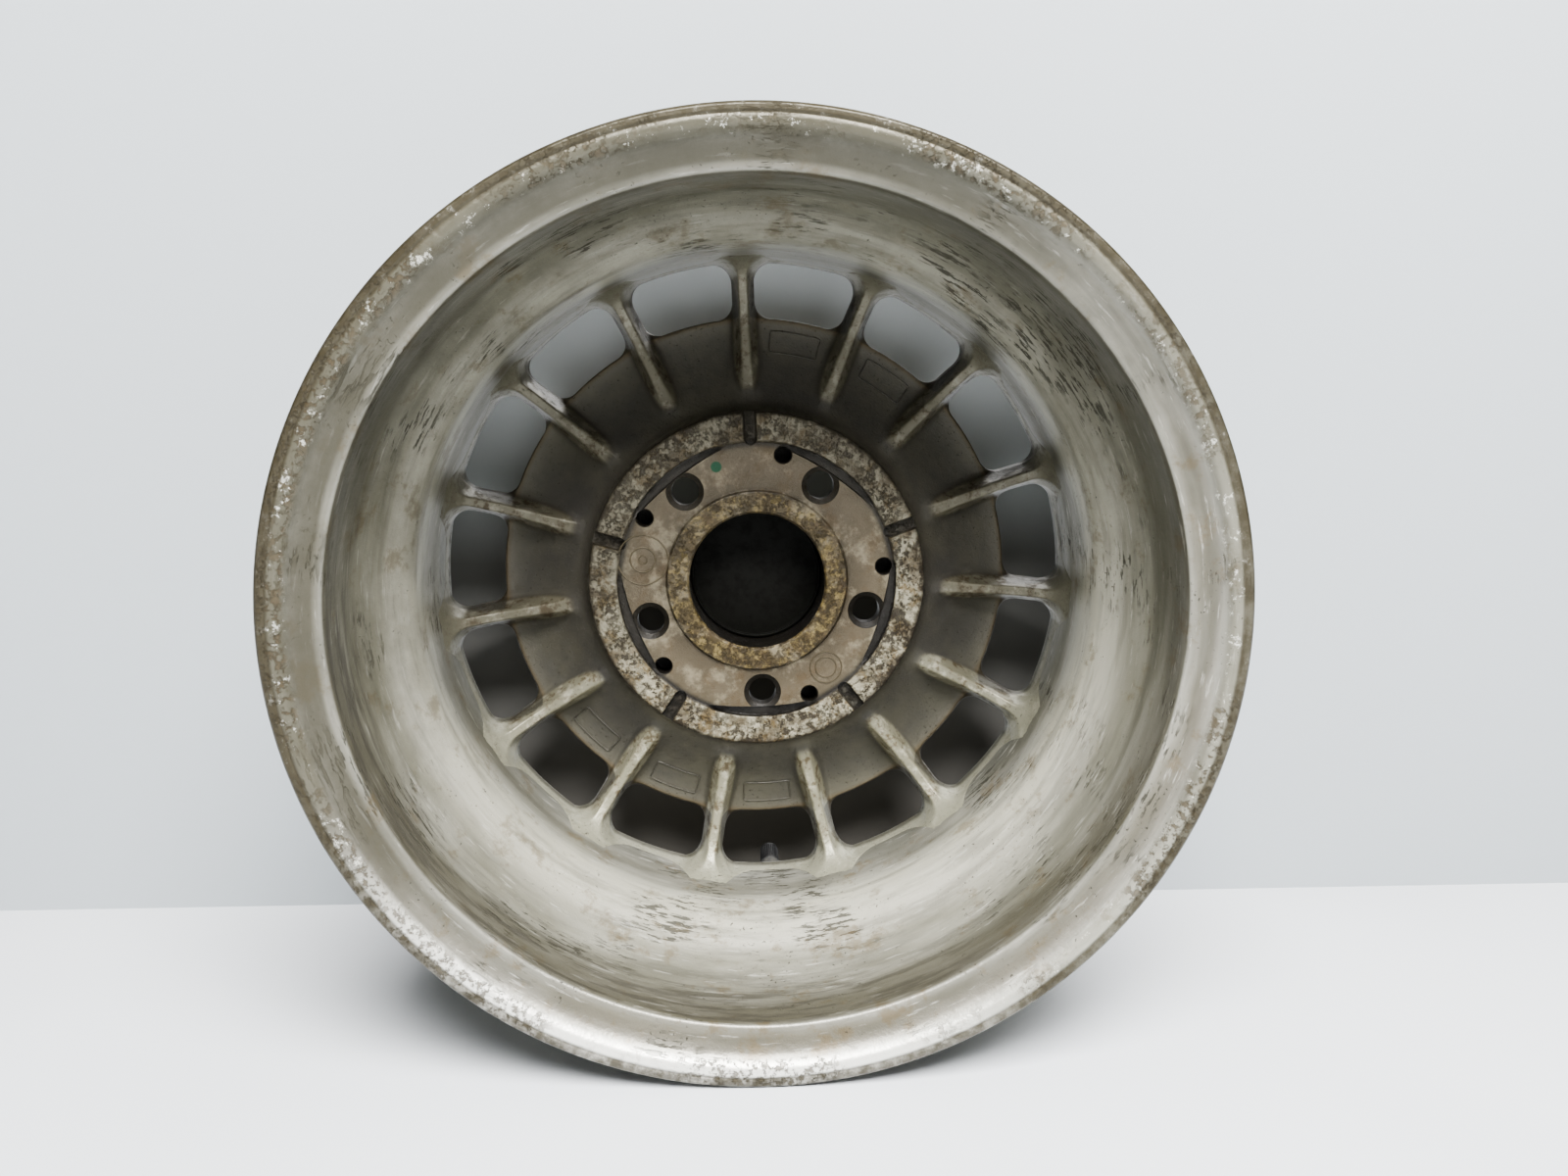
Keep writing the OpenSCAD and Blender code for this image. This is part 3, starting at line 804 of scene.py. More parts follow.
# %% Hub outline, turning and cuts
BOLT_PHASE = radians(56.5)
BOLT_PITCH = radians(72)
BOLT_R = 56.0
LOCATING_R = 62.8
LOCATING_TURN = radians(21.8)    # from a bolt to the small hole after it
GROOVE_ROWS = (63.5, 65.0, 67.0)
HUB_LINE = rounded([
    (33.25, 31.2, 0.2), (34.3, 30, 0.3), (43.8, 30, 0.5), (44.7, RECESS_DEPTH, 0.4), (55, RECESS_DEPTH, 0),
    (61.5, RECESS_DEPTH, 0), *((r, RECESS_DEPTH, 0) for r in GROOVE_ROWS), (68.4, 30.6, 0),
    (68.8, 30.08, 0), (70.0, 30, 0), (81.2, 30, 0.7), (HUB_R, 31.4, 0.8), (HUB_R, 59, 0.5),
    (81.5, 60, 0.5), (46.0, 60, 0.7), (44.1, 61.5, 0.6), (44.1, 65.0, 0.5), (43.0, 66, 0.5),
    (34.6, 66, 0.4), (33.65, 65.1, 0.3), (33.65, 54, 0), (33.25, 54, 0),
], steps=3)


def ragged(turn, seed):
    """A smooth closed wander between -1 and 1 round the axle."""
    rng = np.random.default_rng(seed)
    total = 0 * turn
    for waves in (3, 7, 13, 23, 41, 67):
        total = total + np.sin(waves * turn + rng.uniform(0, 2 * pi)) / waves ** 0.45
    return total / 2.2


def land_wall(radius, depth, turn):
    """A groove like a crescent beside each bolt, a soft foot between them, and ragged edges all round."""
    off_bolt = np.abs((turn - BOLT_PHASE + BOLT_PITCH / 2) % BOLT_PITCH - BOLT_PITCH / 2)
    reach = np.clip(1 - (off_bolt / radians(24)) ** 2, 0, 1)
    rear = depth < 40
    lip_row, floor_row, foot_row = (rear & (radius == r) for r in GROOVE_ROWS)
    ragged_by = 0.25 * ragged(turn, 4)
    radius = np.where(lip_row, 66.6 - 3.4 * reach, radius)
    radius = np.where(floor_row, 66.9 - 3.0 * reach, radius)
    depth = np.where(floor_row | foot_row, depth + 2.2 * np.minimum(1, 4 * reach), depth)
    radius = np.where(foot_row, 67.3 + 0.9 * np.minimum(1, 4 * reach), radius)
    radius = np.where(rear & (radius > 63) & (radius < 69.5), radius + ragged_by, radius)
    edge = (radius > 79) & (depth < 33)
    radius = np.where(edge, radius + 0.18 * ragged(turn, 9), radius)
    return radius, depth


hub = turned("hub_pad", HUB_LINE, around=288, shaped=land_wall)


def beside_axle(radius, turn):
    """A place function about an axis that runs beside the axle."""
    middle = about_axle(np.array(float(radius)), np.array(0.0), np.array(turn))
    return lambda r, d, t: about_axle(r, d, t) + middle


cutters = []
for i in range(5):
    bolt = BOLT_PHASE + i * BOLT_PITCH
    cutters.append(plug(f"bolt_way_{i}", [
        (0, 25), (9.25, 25), (9.25, RECESS_DEPTH + 0.1), (6.75, 34), (6.75, 42.1), (8.9, 43.9), (10.5, 46.2),
        (11.3, 48), (15, 48), (15, 72), (0, 72),
    ], beside_axle(BOLT_R, bolt), 64))
    cutters.append(plug(f"locating_hole_{i}", [
        (0, 25), (4.6, 25), (4.6, RECESS_DEPTH), (4.05, 32.1), (4.05, 44.5), (0, 45.5),
    ], beside_axle(LOCATING_R, bolt + LOCATING_TURN), 40))


def slot_cutter(name, turn, inner=69.2, width=6.0, depth=33.5):
    """A slot with a round inner end that runs out through the pad's side."""
    outline = [(inner + 3 * cos(a), 3 * sin(a)) for a in np.linspace(pi / 2, 3 * pi / 2, 13)]
    outline += [(90.0, -width / 2), (90.0, width / 2)]
    count = len(outline)
    rows = []
    for deep, grow in ((25, 1.12), (30.2, 1.12), (31.0, 1.0), (depth - 0.6, 0.96), (depth, 0.75)):
        rows.append([(x, deep, z * grow) for x, z in outline])
    c, s = cos(turn), sin(turn)
    points = [(x * c - z * s, d, x * s + z * c) for row in rows for x, d, z in row]
    faces = grid_faces(0, len(rows), count, True)
    faces += [tuple(range(count)), tuple(range((len(rows) - 1) * count, len(rows) * count))[::-1]]
    return mesh_piece(name, np.array(points) * MM, faces)


for i in range(5):
    cutters.append(slot_cutter(f"slot_{i}", BOLT_PHASE + (i + 0.5) * BOLT_PITCH))
hub = without(hub, joined("hub_cuts", cutters))
print("hub pad:", len(hub.data.polygons), "faces")

# %% [markdown]
# ## The tyre valve
#
# A snap-in valve: a rubber body pulled through the wall so that its groove grips it, a brass stem moulded
# into it with a fine thread, and a dust cap. The thread is a real helix: a sleeve whose radius rises and
# falls with the place along it and round it. The cap's grip is a row of ribs set by the same Geometry Nodes.

# %% Valve pieces
THREAD_PITCH = 0.794
STEM_TOP = 34.0
rubber_body = turned("valve_rubber_body", rounded([
    (3.2, -6, 0), (4.4, -6, 0.5), (6.6, -3.5, 0.6), (7.6, -1.1, 0.5), (7.6, 0, 0.2), (5.75, 0, 0.2),
    (5.75, 5, 0.2), (6.85, 5, 0.2), (6.85, 7, 0.5), (6.15, 9.2, 0.3), (6.35, 9.8, 0.2), (6.05, 10.4, 0.2),
    (5.7, 11.5, 0.4), (5.45, 17, 0.6), (5.7, 17.6, 0.2), (5.4, 18.3, 0.3), (5.3, 22.4, 0.5), (4.8, 23, 0.2),
    (3.2, 23, 0),
]), about_valve, 72)


def thread(radius, depth, turn):
    """Turns the plain sleeve into a screw thread."""
    on_thread = (radius > 3.6) & (depth > 24.0) & (depth < 33.3)
    phase = (depth / THREAD_PITCH - turn / (2 * pi)) % 1
    wave = np.abs(phase - 0.5) * 2
    return np.where(on_thread, radius - 0.42 * wave, radius), depth


stem_line = [(1.75, -4), (3.2, -4), (3.2, 23), (3.85, 23.6)]
stem_line += [(3.85, d) for d in np.arange(23.7, 33.35, THREAD_PITCH / 6)]
stem_line += [(3.85, 33.4), (3.3, STEM_TOP), (2.5, STEM_TOP), (2.5, 25), (2.2, 25), (2.2, 15.5), (1.75, 14.5)]
stem = turned("valve_threaded_stem", np.array(stem_line), about_valve, 48, thread, sharp=50)

CAP_TOP = 36.7
dust_cap = turned("valve_dust_cap", rounded([
    (4.15, 23.3, 0), (4.75, 23.3, 0.15), (4.75, 24.4, 0.1), (4.5, 24.8, 0.1), (4.5, 34.6, 0.1),
    (4.75, 35.0, 0.1), (4.75, 35.7, 0.3), (3.6, CAP_TOP, 0.4), (2.6, CAP_TOP, 0.1), (2.5, 36.5, 0.1),
    (0, 36.5, 0), (0, 35.1, 0), (4.15, 35.1, 0),
], closed=False), about_valve, 72)


def valve_rib():
    """One grip rib of the dust cap, drawn about the local Y axis so that the tree can repeat it."""
    section = [(4.42, -0.16), (4.72, -0.14), (4.86, 0.0), (4.72, 0.14), (4.42, 0.16)]
    rows = [[(r, d, a) for r, a in section] for d in (25.0, 25.3, 34.1, 34.4)]
    pts = np.array(rows).reshape(-1, 3)
    pts[:5, 0] -= 0.15
    pts[15:, 0] -= 0.15
    faces = grid_faces(0, 4, 5, True) + [(0, 1, 2, 3, 4), (19, 18, 17, 16, 15)]
    return mesh_piece("grip_rib", pts * MM, faces)


cap_black = bpy.data.materials.new("moulded_black_cap")
grip = run_nodes(valve_rib(), bpy.data.node_groups["round_the_axle"],
                 {"Count": 30, "Weld distance": 0.0, "Material": cap_black})
for v in grip.data.vertices:
    x, y, z = np.array(v.co)
    v.co = valve_base + x * valve_side + y * valve_axis + z * valve_cross
grip.name = "valve_cap_grip"
dust_cap = joined("valve_dust_cap", [dust_cap, grip])
dust_cap.name = "valve_dust_cap"
print("valve:", [len(p.data.polygons) for p in (rubber_body, stem, dust_cap)], "faces")

# %% [markdown]
# ## The centre cap
#
# A plain moulded cup pushed into the bore from the street side. Its back shows through the bore as a dark
# plate with a lip, and its face is a shallow dome with one stepped ring and nothing printed on it.

# %% Centre cap
centre_cap = turned("plain_centre_cap", rounded([
    (0, 58.5, 0), (31.75, 58.5, 0.3),
    (31.75, 56.2, 0.2), (32.2, 56, 0.2), (33.2, 56.3, 0.3), (33.25, 61.5, 0.1), (32.75, 61.9, 0.1),
    (32.75, 63.1, 0.1), (33.25, 63.5, 0.1), (33.25, 66.3, 0.1), (36.9, 66.3, 0.3), (37.0, 68.8, 0.8),
    (36.0, 69.8, 0.6), (29.6, 71.2, 0.3), (29.2, 70.8, 0.2), (28.2, 70.9, 0.2), (27.8, 71.6, 0.4),
    (18.5, 72.8, 3.0), (0, 72.8, 0),
], steps=3, closed=False), about_axle, 144)
print("centre cap:", len(centre_cap.data.polygons), "faces")

# %% [markdown]
# ## Finishes: how the patterns find their place
#
# All patterns read Object coordinates, which are the wheel's own place in metres. On a wheel the useful
# numbers are the radius from the axle, the depth along it, and the direction round it. The direction is
# used as a pair, cosine and sine, because an angle would jump at one side of the wheel and leave a seam.

# %% Colour and pattern helpers


def colour(hex_code):
    """Linear RGBA from an sRGB hex colour."""
    parts = [int(hex_code[i:i + 2], 16) / 255 for i in (0, 2, 4)]
    return tuple(c / 12.92 if c <= 0.04045 else ((c + 0.055) / 1.055) ** 2.4 for c in parts) + (1.0,)


STREAK_R = 160.0         # the radius at which a streak has its stated length


class Finish:
    """A material's tree with the wheel's coordinates ready to use, in millimetres."""

    def __init__(self, material, metallic, roughness):
        material.use_nodes = True
        self.tree = material.node_tree
        self.shader = self.tree.nodes["Principled BSDF"]
        self.shader.inputs["Metallic"].default_value = metallic
        self.shader.inputs["Roughness"].default_value = roughness
        place = add(self.tree, "ShaderNodeTexCoord")
        self.place = add(self.tree, "ShaderNodeVectorMath", {"operation": "SCALE"},
                         {0: place.outputs["Object"], "Scale": 1000.0}).outputs[0]
        parts = add(self.tree, "ShaderNodeSeparateXYZ", None, {0: self.place})
        _, self.depth, self.z = parts.outputs
        level = add(self.tree, "ShaderNodeVectorMath", {"operation": "MULTIPLY"},
                    {0: self.place, 1: (1, 0, 1)}).outputs[0]
        length = add(self.tree, "ShaderNodeVectorMath", {"operation": "LENGTH"}, {0: level})
        self.radius = length.outputs["Value"]
        self.round = add(self.tree, "ShaderNodeVectorMath", {"operation": "NORMALIZE"}, {0: level}).outputs[0]

    def both(self, amount, *others):
        """The product of amounts, so that a pattern shows only where all of them do."""
        for other in others:
            amount = add(self.tree, "ShaderNodeMath", {"operation": "MULTIPLY"},
                         {0: amount, 1: other}).outputs[0]
        return amount

    def either(self, amount, *others):
        """The largest of the amounts, so that a pattern shows where any of them does."""
        for other in others:
            amount = add(self.tree, "ShaderNodeMath", {"operation": "MAXIMUM"},
                         {0: amount, 1: other}).outputs[0]
        return amount

    def weigh(self, total, *parts):
        """Adds values to a number, each by its weight."""
        for value, weight in parts:
            total = add(self.tree, "ShaderNodeMath", {"operation": "MULTIPLY_ADD"},
                        {0: value, 1: weight, 2: total}).outputs[0]
        return total

    def ramp(self, value, low, high, stops):
        """Colours or greys read off a distance: stops are (distance, hex colour)."""
        spread = add(self.tree, "ShaderNodeMapRange", None,
                     {"Value": value, "From Min": low, "From Max": high})
        made = add(self.tree, "ShaderNodeValToRGB", None, {"Fac": spread.outputs[0]})
        scale = made.color_ramp.elements
        scale.remove(scale[1])
        for i, (at, shade) in enumerate(stops):
            where = (at - low) / (high - low)
            spot = scale[0] if i == 0 else scale.new(where)
            spot.position = where
            spot.color = colour(shade)
        return made.outputs[0]

    def facing(self, angle):
        """1 at an angle round the wheel, in degrees from the right, and -1 across from it."""
        aim = (cos(radians(angle)), 0, sin(radians(angle)))
        return add(self.tree, "ShaderNodeVectorMath", {"operation": "DOT_PRODUCT"},
                   {0: self.round, 1: aim}).outputs["Value"]

    def cut(self, value, low, high, most=1.0):
        """0 at low and the most at high, smooth between and level outside."""
        return add(self.tree, "ShaderNodeMapRange", {"interpolation_type": "SMOOTHSTEP"},
                   {"Value": value, "From Min": low, "From Max": high, "To Max": most}).outputs[0]

    def patches(self, size, detail=4, rough=0.6, cut=(0.45, 0.6), seed=0.0, most=1.0):
        """0 to 1 cloudy patches of about a size in millimetres."""
        noise = add(self.tree, "ShaderNodeTexNoise", {"noise_dimensions": "4D"}, {
            "Vector": self.place, "W": seed, "Scale": 1.0 / size, "Detail": detail, "Roughness": rough,
        })
        return self.cut(noise.outputs["Fac"], *cut, most)

    def streaks(self, along, across, seed=0.0, cut=(0.45, 0.62), detail=5):
        """Patches drawn out round the axle: along is their length and across their width, in millimetres."""
        turn = add(self.tree, "ShaderNodeVectorMath", {"operation": "SCALE"},
                   {0: self.round, "Scale": STREAK_R / along}).outputs[0]
        rise = add(self.tree, "ShaderNodeCombineXYZ", None, {"Y": self.both(self.depth, 1 / across)})
        place = add(self.tree, "ShaderNodeVectorMath", {"operation": "ADD"}, {0: turn, 1: rise.outputs[0]})
        noise = add(self.tree, "ShaderNodeTexNoise", {"noise_dimensions": "4D"}, {
            "Vector": place.outputs[0], "W": self.weigh(seed, (self.radius, 1 / across)),
            "Scale": 1.0, "Detail": detail, "Roughness": 0.62,
        })
        return self.cut(noise.outputs["Fac"], *cut)

    def over(self, base, top, *amounts):
        """Lays a colour over another by the product of the amounts."""
        base, top = (colour(c) if isinstance(c, str) else c for c in (base, top))
        return add(self.tree, "ShaderNodeMix", {"data_type": "RGBA"},
                   {0: self.both(*amounts), 6: base, 7: top}).outputs[2]

    def finish(self, paint, roughness=None, height=None, bump_mm=0.1):
        """Connects colour, roughness and a height in units of bump_mm."""
        self.tree.links.new(paint, self.shader.inputs["Base Color"])
        if roughness is not None:
            self.tree.links.new(roughness, self.shader.inputs["Roughness"])
        if height is not None:
            bump = add(self.tree, "ShaderNodeBump", None,
                       {"Height": height, "Distance": bump_mm * MM, "Strength": 1.0})
            self.tree.links.new(bump.outputs[0], self.shader.inputs["Normal"])


# %% [markdown]
# ## Aged silver lacquer on the barrel
#
# The axle's side was sprayed silver and never machined. Years of brake dust and water have left it dull:
# tones run round it in long streaks, dark where dust baked on, with pits and peeled spots on the upper side.
# The colour is first read off the depth, because each zone of the barrel has aged in its own way, and the
# zones deep in towards the disc are darker as painted shade.

# %% Barrel finish
barrel_paint = bpy.data.materials.new("aged_silver_barrel")
f = Finish(barrel_paint, 0.35, 0.5)
# Tones by depth; the darkening deep in towards the disc is painted shade.
tones_and_shade = f.ramp(f.depth, -90, 60, [
    (-88.6, "9b998c"), (-85.6, "96948a"), (-84.0, "7c786d"), (-82.5, "656155"), (-80.8, "6b675a"),
    (-79.6, "96948a"), (-78.4, "5f5c4d"), (-74, "66645a"), (-60, "716f62"), (-34, "858375"),
    (-24, "b0ad9f"), (0, "c2bfae"), (8, "a8a698"), (20, "716f64"), (38, "66655a"), (48, "5c5a4f"),
])
# Light and dark tones, flaked spots, bright scuffs, brown stains and pits.
paint = f.over(tones_and_shade, "d6d4ca", f.streaks(60, 14, 7.0, (0.35, 0.7), 3), 0.2)
paint = f.over(paint, "55544a", f.streaks(52, 7, 13.0, (0.44, 0.66), 8), 0.42)
flakes = f.both(f.streaks(9, 1.7, 3.0, (0.53, 0.56), 9), f.patches(48, 4, 0.6, (0.52, 0.62), 17.0))
paint = f.over(paint, "35332a", flakes, 0.85)
paint = f.over(paint, "d2d0c6", f.streaks(16, 2.0, 23.0, (0.58, 0.66), 7), 0.35)
paint = f.over(paint, "62502f", f.patches(18, 8, 0.7, (0.54, 0.64), 5.0), 0.45)
pits = f.both(f.patches(1.5, 3, 0.7, (0.63, 0.67), 2.0), f.patches(30, 3, 0.6, (0.48, 0.58), 8.0))
paint = f.over(paint, "2d2a22", pits, 0.85)
# Painted shade in cloudy patches on the upper left, and grime in the corner beside the step.
cloudy_upper_shade = f.weigh(0.25, (f.patches(45, 5, 0.65, (0.35, 0.65), 51.0), 0.3))
paint = f.over(paint, "3b392e", f.cut(f.facing(115), -0.75, 0.3), cloudy_upper_shade)
grimy = f.both(f.cut(f.depth, -77.5, -76), f.cut(f.depth, -52, -66))
paint = f.over(paint, "4c4839", grimy, f.cut(f.facing(270), -0.2, 0.6, 0.5))
near_step = f.both(f.cut(f.depth, -79.0, -77.0), f.cut(f.depth, -30, -62))
smudges = f.both(near_step, f.cut(f.facing(235), 0.0, 0.7), f.streaks(26, 3.2, 91.0, (0.46, 0.6), 8))
paint = f.over(paint, "3d3a34", smudges, 0.6)
# The hollow face behind the lip is darker on the upper left, as painted shade. A painted highlight makes the
# lip near white at the bottom, and painted shade darkens the lip away from the bottom.
shaded = f.both(f.cut(f.radius, 174.0, 176.0), f.cut(f.facing(140), -0.2, 0.6))
uneven = f.weigh(0.58, (f.patches(30, 6, 0.7, (0.35, 0.65), 81.0), 0.3))
paint = f.over(paint, "423f33", shaded, uneven)
on_lip = f.cut(f.radius, 183.0, 185.5)
# Painted highlight on the lip at the bottom, then painted shade on the lip away from it.
paint = f.over(paint, "f1efe6", on_lip, f.cut(f.facing(75), -0.55, -0.95), 0.8)
paint = f.over(paint, "5a5647", on_lip, f.cut(f.facing(270), 0.85, 0.3, 0.5))
# Crust, chalky spots and a brown outer edge on the lip.
lip = f.both(on_lip, f.patches(60, 3, 0.6, (0.4, 0.58), 33.0))
crust = f.both(f.patches(3.4, 7, 0.75, (0.5, 0.56), 4.0), lip)
paint = f.over(paint, "4a3f2c", crust, 0.75)
paint = f.over(paint, "d5d3c8", f.patches(6.0, 9, 0.8, (0.57, 0.6), 21.0), on_lip, 0.8)
rim_edge = f.weigh(0.6, (f.patches(8, 6, 0.7, (0.3, 0.6), 61.0), 0.35))
paint = f.over(paint, "3a3424", f.cut(f.radius, 188.9, 190.6), rim_edge)
grain = f.patches(0.9, 3, 0.6, (0.2, 0.8), 1.0)
waves = f.patches(7, 4, 0.6, (0.2, 0.8), 6.0)
height = f.weigh(0.0, (grain, 0.35), (pits, -2.0), (flakes, -1.6), (waves, 1.3), (crust, -2.2))
f.finish(paint, f.weigh(0.4, (flakes, 0.25)), height, 0.12)

# %% [markdown]
# ## Aged silver on the ribs and pans
#
# The pans hold brake dust, so they are dark and dull between the ribs, while the crests have been rubbed
# bright and then stained brown. The attribute stored on the mesh tells them apart. The upper side is darker
# than the lower as painted shade, the walls inside the windows are darkened as painted shade, and the
# street side is cleaner.

# %% Disc finish
f = Finish(disc_paint, 0.3, 0.5)
rubbed = add(f.tree, "ShaderNodeAttribute", {"attribute_name": "rubbed"}).outputs["Fac"]
pans = f.ramp(f.radius, 80, 130, [
    (82, "4c4942"), (92, "464441"), (104, "494743"), (118, "52504a"), (125, "5e5b52"), (127.6, "5a4e3a"),
])
pans = f.over(pans, "6b6858", f.patches(24, 4, 0.6, (0.35, 0.7), 31.0), 0.35)
stain = f.patches(7, 8, 0.75, (0.5, 0.6), 3.0)
crests = f.over("858270", "49381d", stain, 0.75)
crests = f.over(crests, "c6c2b0", f.patches(9, 6, 0.7, (0.5, 0.62), 9.0, 0.5))
flare = f.cut(f.radius, 143, 150)
crests = f.over(crests, "8b8a7a", flare, 0.75)
paint = f.over(pans, crests, f.cut(f.either(rubbed, flare), 0.15, 0.75))
specks = f.patches(1.4, 4, 0.7, (0.6, 0.66), 2.0)
paint = f.over(paint, "2b241a", specks, 0.7)
# Painted shade: the upper side of the disc is darker, more on the crests than in the pans.
painted_upper_shade = f.both(f.cut(f.facing(95), -0.75, 0.0), f.cut(rubbed, -0.3, 0.5))
paint = f.over(paint, "332c20", painted_upper_shade, 0.58)
paint = f.over(paint, "a5a397", f.cut(f.depth, 58, 61, 0.6), rubbed)
# Painted shade on the walls inside the windows.
inside = f.both(f.cut(f.depth, 46, 50), f.cut(f.depth, 64, 60))
paint = f.over(paint, "29261e", inside, f.cut(f.radius, 127.2, 128.4, 0.7))
grain = f.patches(1.1, 3, 0.6, (0.2, 0.8), 1.0)
waves = f.patches(6, 4, 0.6, (0.2, 0.8), 6.0)
height = f.weigh(0.0, (grain, 0.5), (waves, 1.0), (specks, -0.8))
f.finish(paint, f.weigh(0.4, (stain, 0.2)), height, 0.14)

# %% [markdown]
# ## Hub pad
#
# Four finishes on one rough skin: a golden, rubbed inner land with a dark outline; a cream recess with
# brown stains; an outer land eaten by corrosion into white crust and dark pits; and a near-black side.
# The holes, slots and grooves are near black and the upper side is darker, both as painted shade.

# %% Hub finish
DOT_R = 59.1             # the dot of green paint
DOT_TURN = radians(109.4)
hub_paint = bpy.data.materials.new("corroded_hub_pad")
f = Finish(hub_paint, 0.25, 0.55)
# Tones by radius; the dark ring in the groove inside the outer land is painted shade.
tones_and_shade = f.ramp(f.radius, 30, 84, [
    (33.2, "2d2414"), (34.4, "433820"), (42.8, "3e341f"), (43.9, "201a10"), (44.6, "302819"),
    (46.5, "473f30"), (58, "595040"), (65.5, "524a3a"), (67.5, "3f382b"), (70, "615a49"), (80, "5f5747"),
    (82.3, "3a3429"),
])
stain = f.patches(10, 6, 0.65, (0.48, 0.66), 3.0)
paint = f.over(tones_and_shade, "4f3f28", stain, 0.55)
paint = f.over(paint, "a59c86", f.patches(12, 5, 0.65, (0.5, 0.68), 44.0), 0.4)
# Gold on the inner land, white crust and rust on the outer one, and pits on both.
outer = f.cut(f.radius, 67.4, 68.6)
inner = f.cut(f.radius, 44.0, 43.4)
paint = f.over(paint, "8a7a50", f.patches(4, 7, 0.75, (0.48, 0.6), 18.0), inner, 0.6)
paint = f.over(paint, "9f9a87", f.patches(15, 9, 0.75, (0.44, 0.55), 14.0), outer, 0.85)
paint = f.over(paint, "625130", f.patches(9, 9, 0.8, (0.51, 0.58), 24.0), outer, 0.8)
pit_field = f.both(f.patches(2.9, 8, 0.82, (0.505, 0.54), 31.0), f.patches(13, 6, 0.7, (0.34, 0.54), 38.0))
pits = f.both(pit_field, f.weigh(0.1, (f.either(outer, f.both(inner, 0.55)), 0.9)))
paint = f.over(paint, "251d12", pits, 0.9)
paint = f.over(paint, "2b2216", f.cut(f.radius, 78.8, 82.0), f.patches(5, 8, 0.78, (0.4, 0.52), 71.0), 0.85)
# Painted shade: near black in the holes, slots and grooves, and darker on the upper side. Then the dot, and
# the cleaner street side.
# Painted shade: near black in the holes, the bore, the slots, the grooves beside the bolts and on the pad's
# side.
deep = f.both(f.cut(f.depth, 31.52, 31.75), f.cut(f.depth, 59.5, 58.5), f.cut(f.radius, 70, 68.5))
slots = f.both(f.cut(f.depth, 30.5, 31.4), f.cut(f.radius, 64, 67), 0.9)
paint = f.over(paint, "16130f", f.either(deep, slots), 0.96)
# Painted shade on the upper side, more on the outer land.
paint = f.over(paint, "2f2a1e", f.cut(f.facing(110), -0.6, 0.5), f.weigh(0.34, (outer, 0.3)))
dot_place = (DOT_R * cos(DOT_TURN), RECESS_DEPTH, DOT_R * sin(DOT_TURN))
from_dot = add(f.tree, "ShaderNodeVectorMath", {"operation": "DISTANCE"}, {0: f.place, 1: dot_place})
paint = f.over("0a3a22", paint, f.cut(from_dot.outputs["Value"], 2.3, 3.0))
paint = f.over(paint, "77746a", f.cut(f.depth, 58.5, 59.5, 0.85))
grain = f.patches(0.9, 3, 0.6, (0.2, 0.8), 1.0)
lumps = f.both(f.patches(5, 6, 0.7, (0.3, 0.7), 14.0), outer)
height = f.weigh(0.0, (pits, -2.4), (grain, 1.0), (lumps, 2.6))
f.finish(paint, f.weigh(0.42, (stain, 0.2)), height, 0.16)

# %% [markdown]
# ## Rubber, brass, plastic and spring steel
#
# The small parts. Rubber is dull and greyed, so it shows almost no highlight. Brass has gone dark in its
# threads. The moulded plastics are a fine leathery grain, and the spring steel is bare and a little brown.

# %% Small finishes


def small_finish(material, base, stained, metallic, roughness, grain_mm, bump_mm):
    """A two-tone finish with a fine grain."""
    f = Finish(material, metallic, roughness)
    patch = f.patches(grain_mm * 8, 5, 0.65, (0.42, 0.66), 2.0)
    rough = f.weigh(roughness - 0.07, (patch, 0.15))
    grain = f.patches(grain_mm, 4, 0.6, (0.25, 0.75), 5.0)
    f.finish(f.over(base, stained, patch, 0.7), rough, grain, bump_mm)
    return material


rubber = small_finish(bpy.data.materials.new("aged_rubber"), "2b2b2a", "4a4842", 0.0, 0.75, 0.7, 0.06)
brass = small_finish(bpy.data.materials.new("dull_brass"), "b3935a", "6f5a35", 1.0, 0.38, 0.5, 0.02)
steel = small_finish(bpy.data.materials.new("spring_steel"), "a5a49f", "7a6c57", 1.0, 0.35, 0.4, 0.02)
small_finish(cap_black, "0d0d0d", "1d1c1a", 0.0, 0.6, 0.4, 0.03)
ring_ink = small_finish(bpy.data.materials.new("dark_raised_rings"), "4f4736", "39321f", 0.2, 0.55, 0.8, 0.04)
cap_grey = small_finish(bpy.data.materials.new("moulded_grey_cap"), "11110d", "0c0b08", 0.0, 0.62, 0.6, 0.04)
cap_grey.node_tree.nodes["Principled BSDF"].inputs["Specular IOR Level"].default_value = 0.12

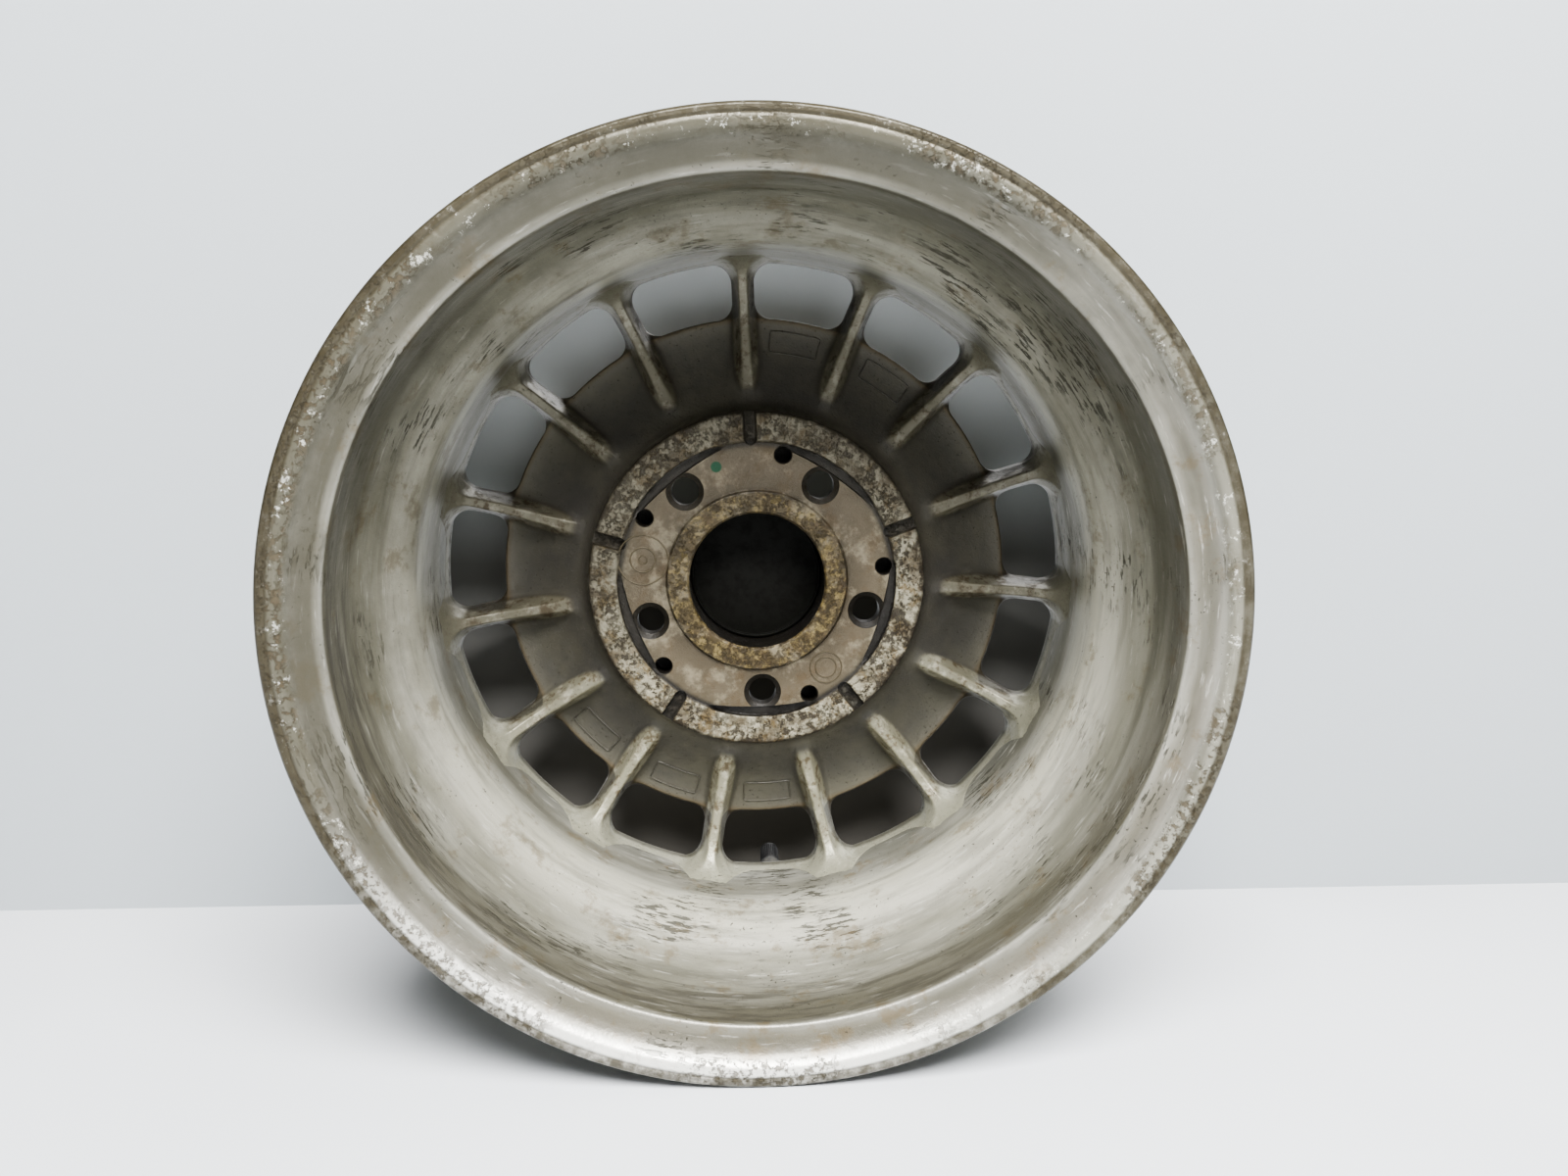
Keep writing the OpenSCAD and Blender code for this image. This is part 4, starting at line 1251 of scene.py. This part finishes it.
# %% Stage finishes
stage_paint = bpy.data.materials.new("pale_stage")
f = Finish(stage_paint, 0.0, 0.8)
f.finish(f.over("d7dadd", "d2d5d8", f.patches(400, 2)))
floor.data.materials.append(stage_paint)
wall_paint = bpy.data.materials.new("pale_one_sided_wall")
f = Finish(wall_paint, 0.0, 0.8)
shade = f.ramp(f.z, -160, 160, [
    (-150, "5f5c57"), (0, "71716e"), (50, "a7abaa"), (100, "dfe2e2"), (150, "e6e9e9"),
])
f.finish(f.over(shade, "a9aeb1", f.cut(f.radius, 188, 216)))
tree = f.tree
behind = add(tree, "ShaderNodeNewGeometry").outputs["Backfacing"]
clear = add(tree, "ShaderNodeBsdfTransparent").outputs[0]
one_sided = add(tree, "ShaderNodeMixShader", None,
                {0: behind, 1: tree.nodes["Principled BSDF"].outputs[0], 2: clear})
tree.links.new(one_sided.outputs[0], tree.nodes["Material Output"].inputs[0])
wall.data.materials.append(wall_paint)

# %% [markdown]
# ## Give each piece its finish, its body and its place in the frame
#
# A piece stands for the exact parts it replaces and moves with their body. The small inner parts of the valve
# and the cap's wire are shown as the frame has them, with a finish of their own.

# %% Finishes and bodies


def settle(piece, paint, body, slot, *stands_for):
    """Gives a piece its material and its body, and hides the exact parts it stands for. slot is not used."""
    piece.data.materials.clear()
    piece.data.materials.append(paint)
    if stands_for:
        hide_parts(*stands_for)
    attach(piece, body)


spoke_names = [f"spoke_{k:02d}" for k in range(1, RIB_COUNT + 1)]
settle(disc, disc_paint, "wheel", "forging", "spoke_webs", *spoke_names)
settle(frames, disc_paint, "wheel", "forging")
settle(rings, ring_ink, "wheel", "worn_land")
settle(barrel, barrel_paint, "wheel", "forging", "inboard_flange", "inboard_bead_seat", "inboard_slope",
       "rim_well", "outboard_slope", "spoke_ring", "outboard_bead_seat", "outboard_flange")
settle(hub, hub_paint, "wheel", "worn_land",
       "hub_outer_land", "hub_flange", "hub_pocket_walls", "hub_bore_ring")
settle(rubber_body, rubber, "wheel", "valve_rubber", "valve_body")
settle(stem, brass, "wheel", "brass", "valve_stem")
settle(dust_cap, cap_black, "valve_cap", "black_plastic", "valve_cap")
settle(centre_cap, cap_grey, "centre_cap", "cap_plastic", "centre_cap")
for node, paint in {
    "valve_core_barrel": brass, "valve_core_pin": brass, "valve_core_seal": rubber,
    "valve_core_spring": steel, "valve_cap_washer": rubber, "centre_cap_wire": steel,
}.items():
    kept = frame["nodes"][node].data
    kept.materials.clear()
    kept.materials.append(paint)
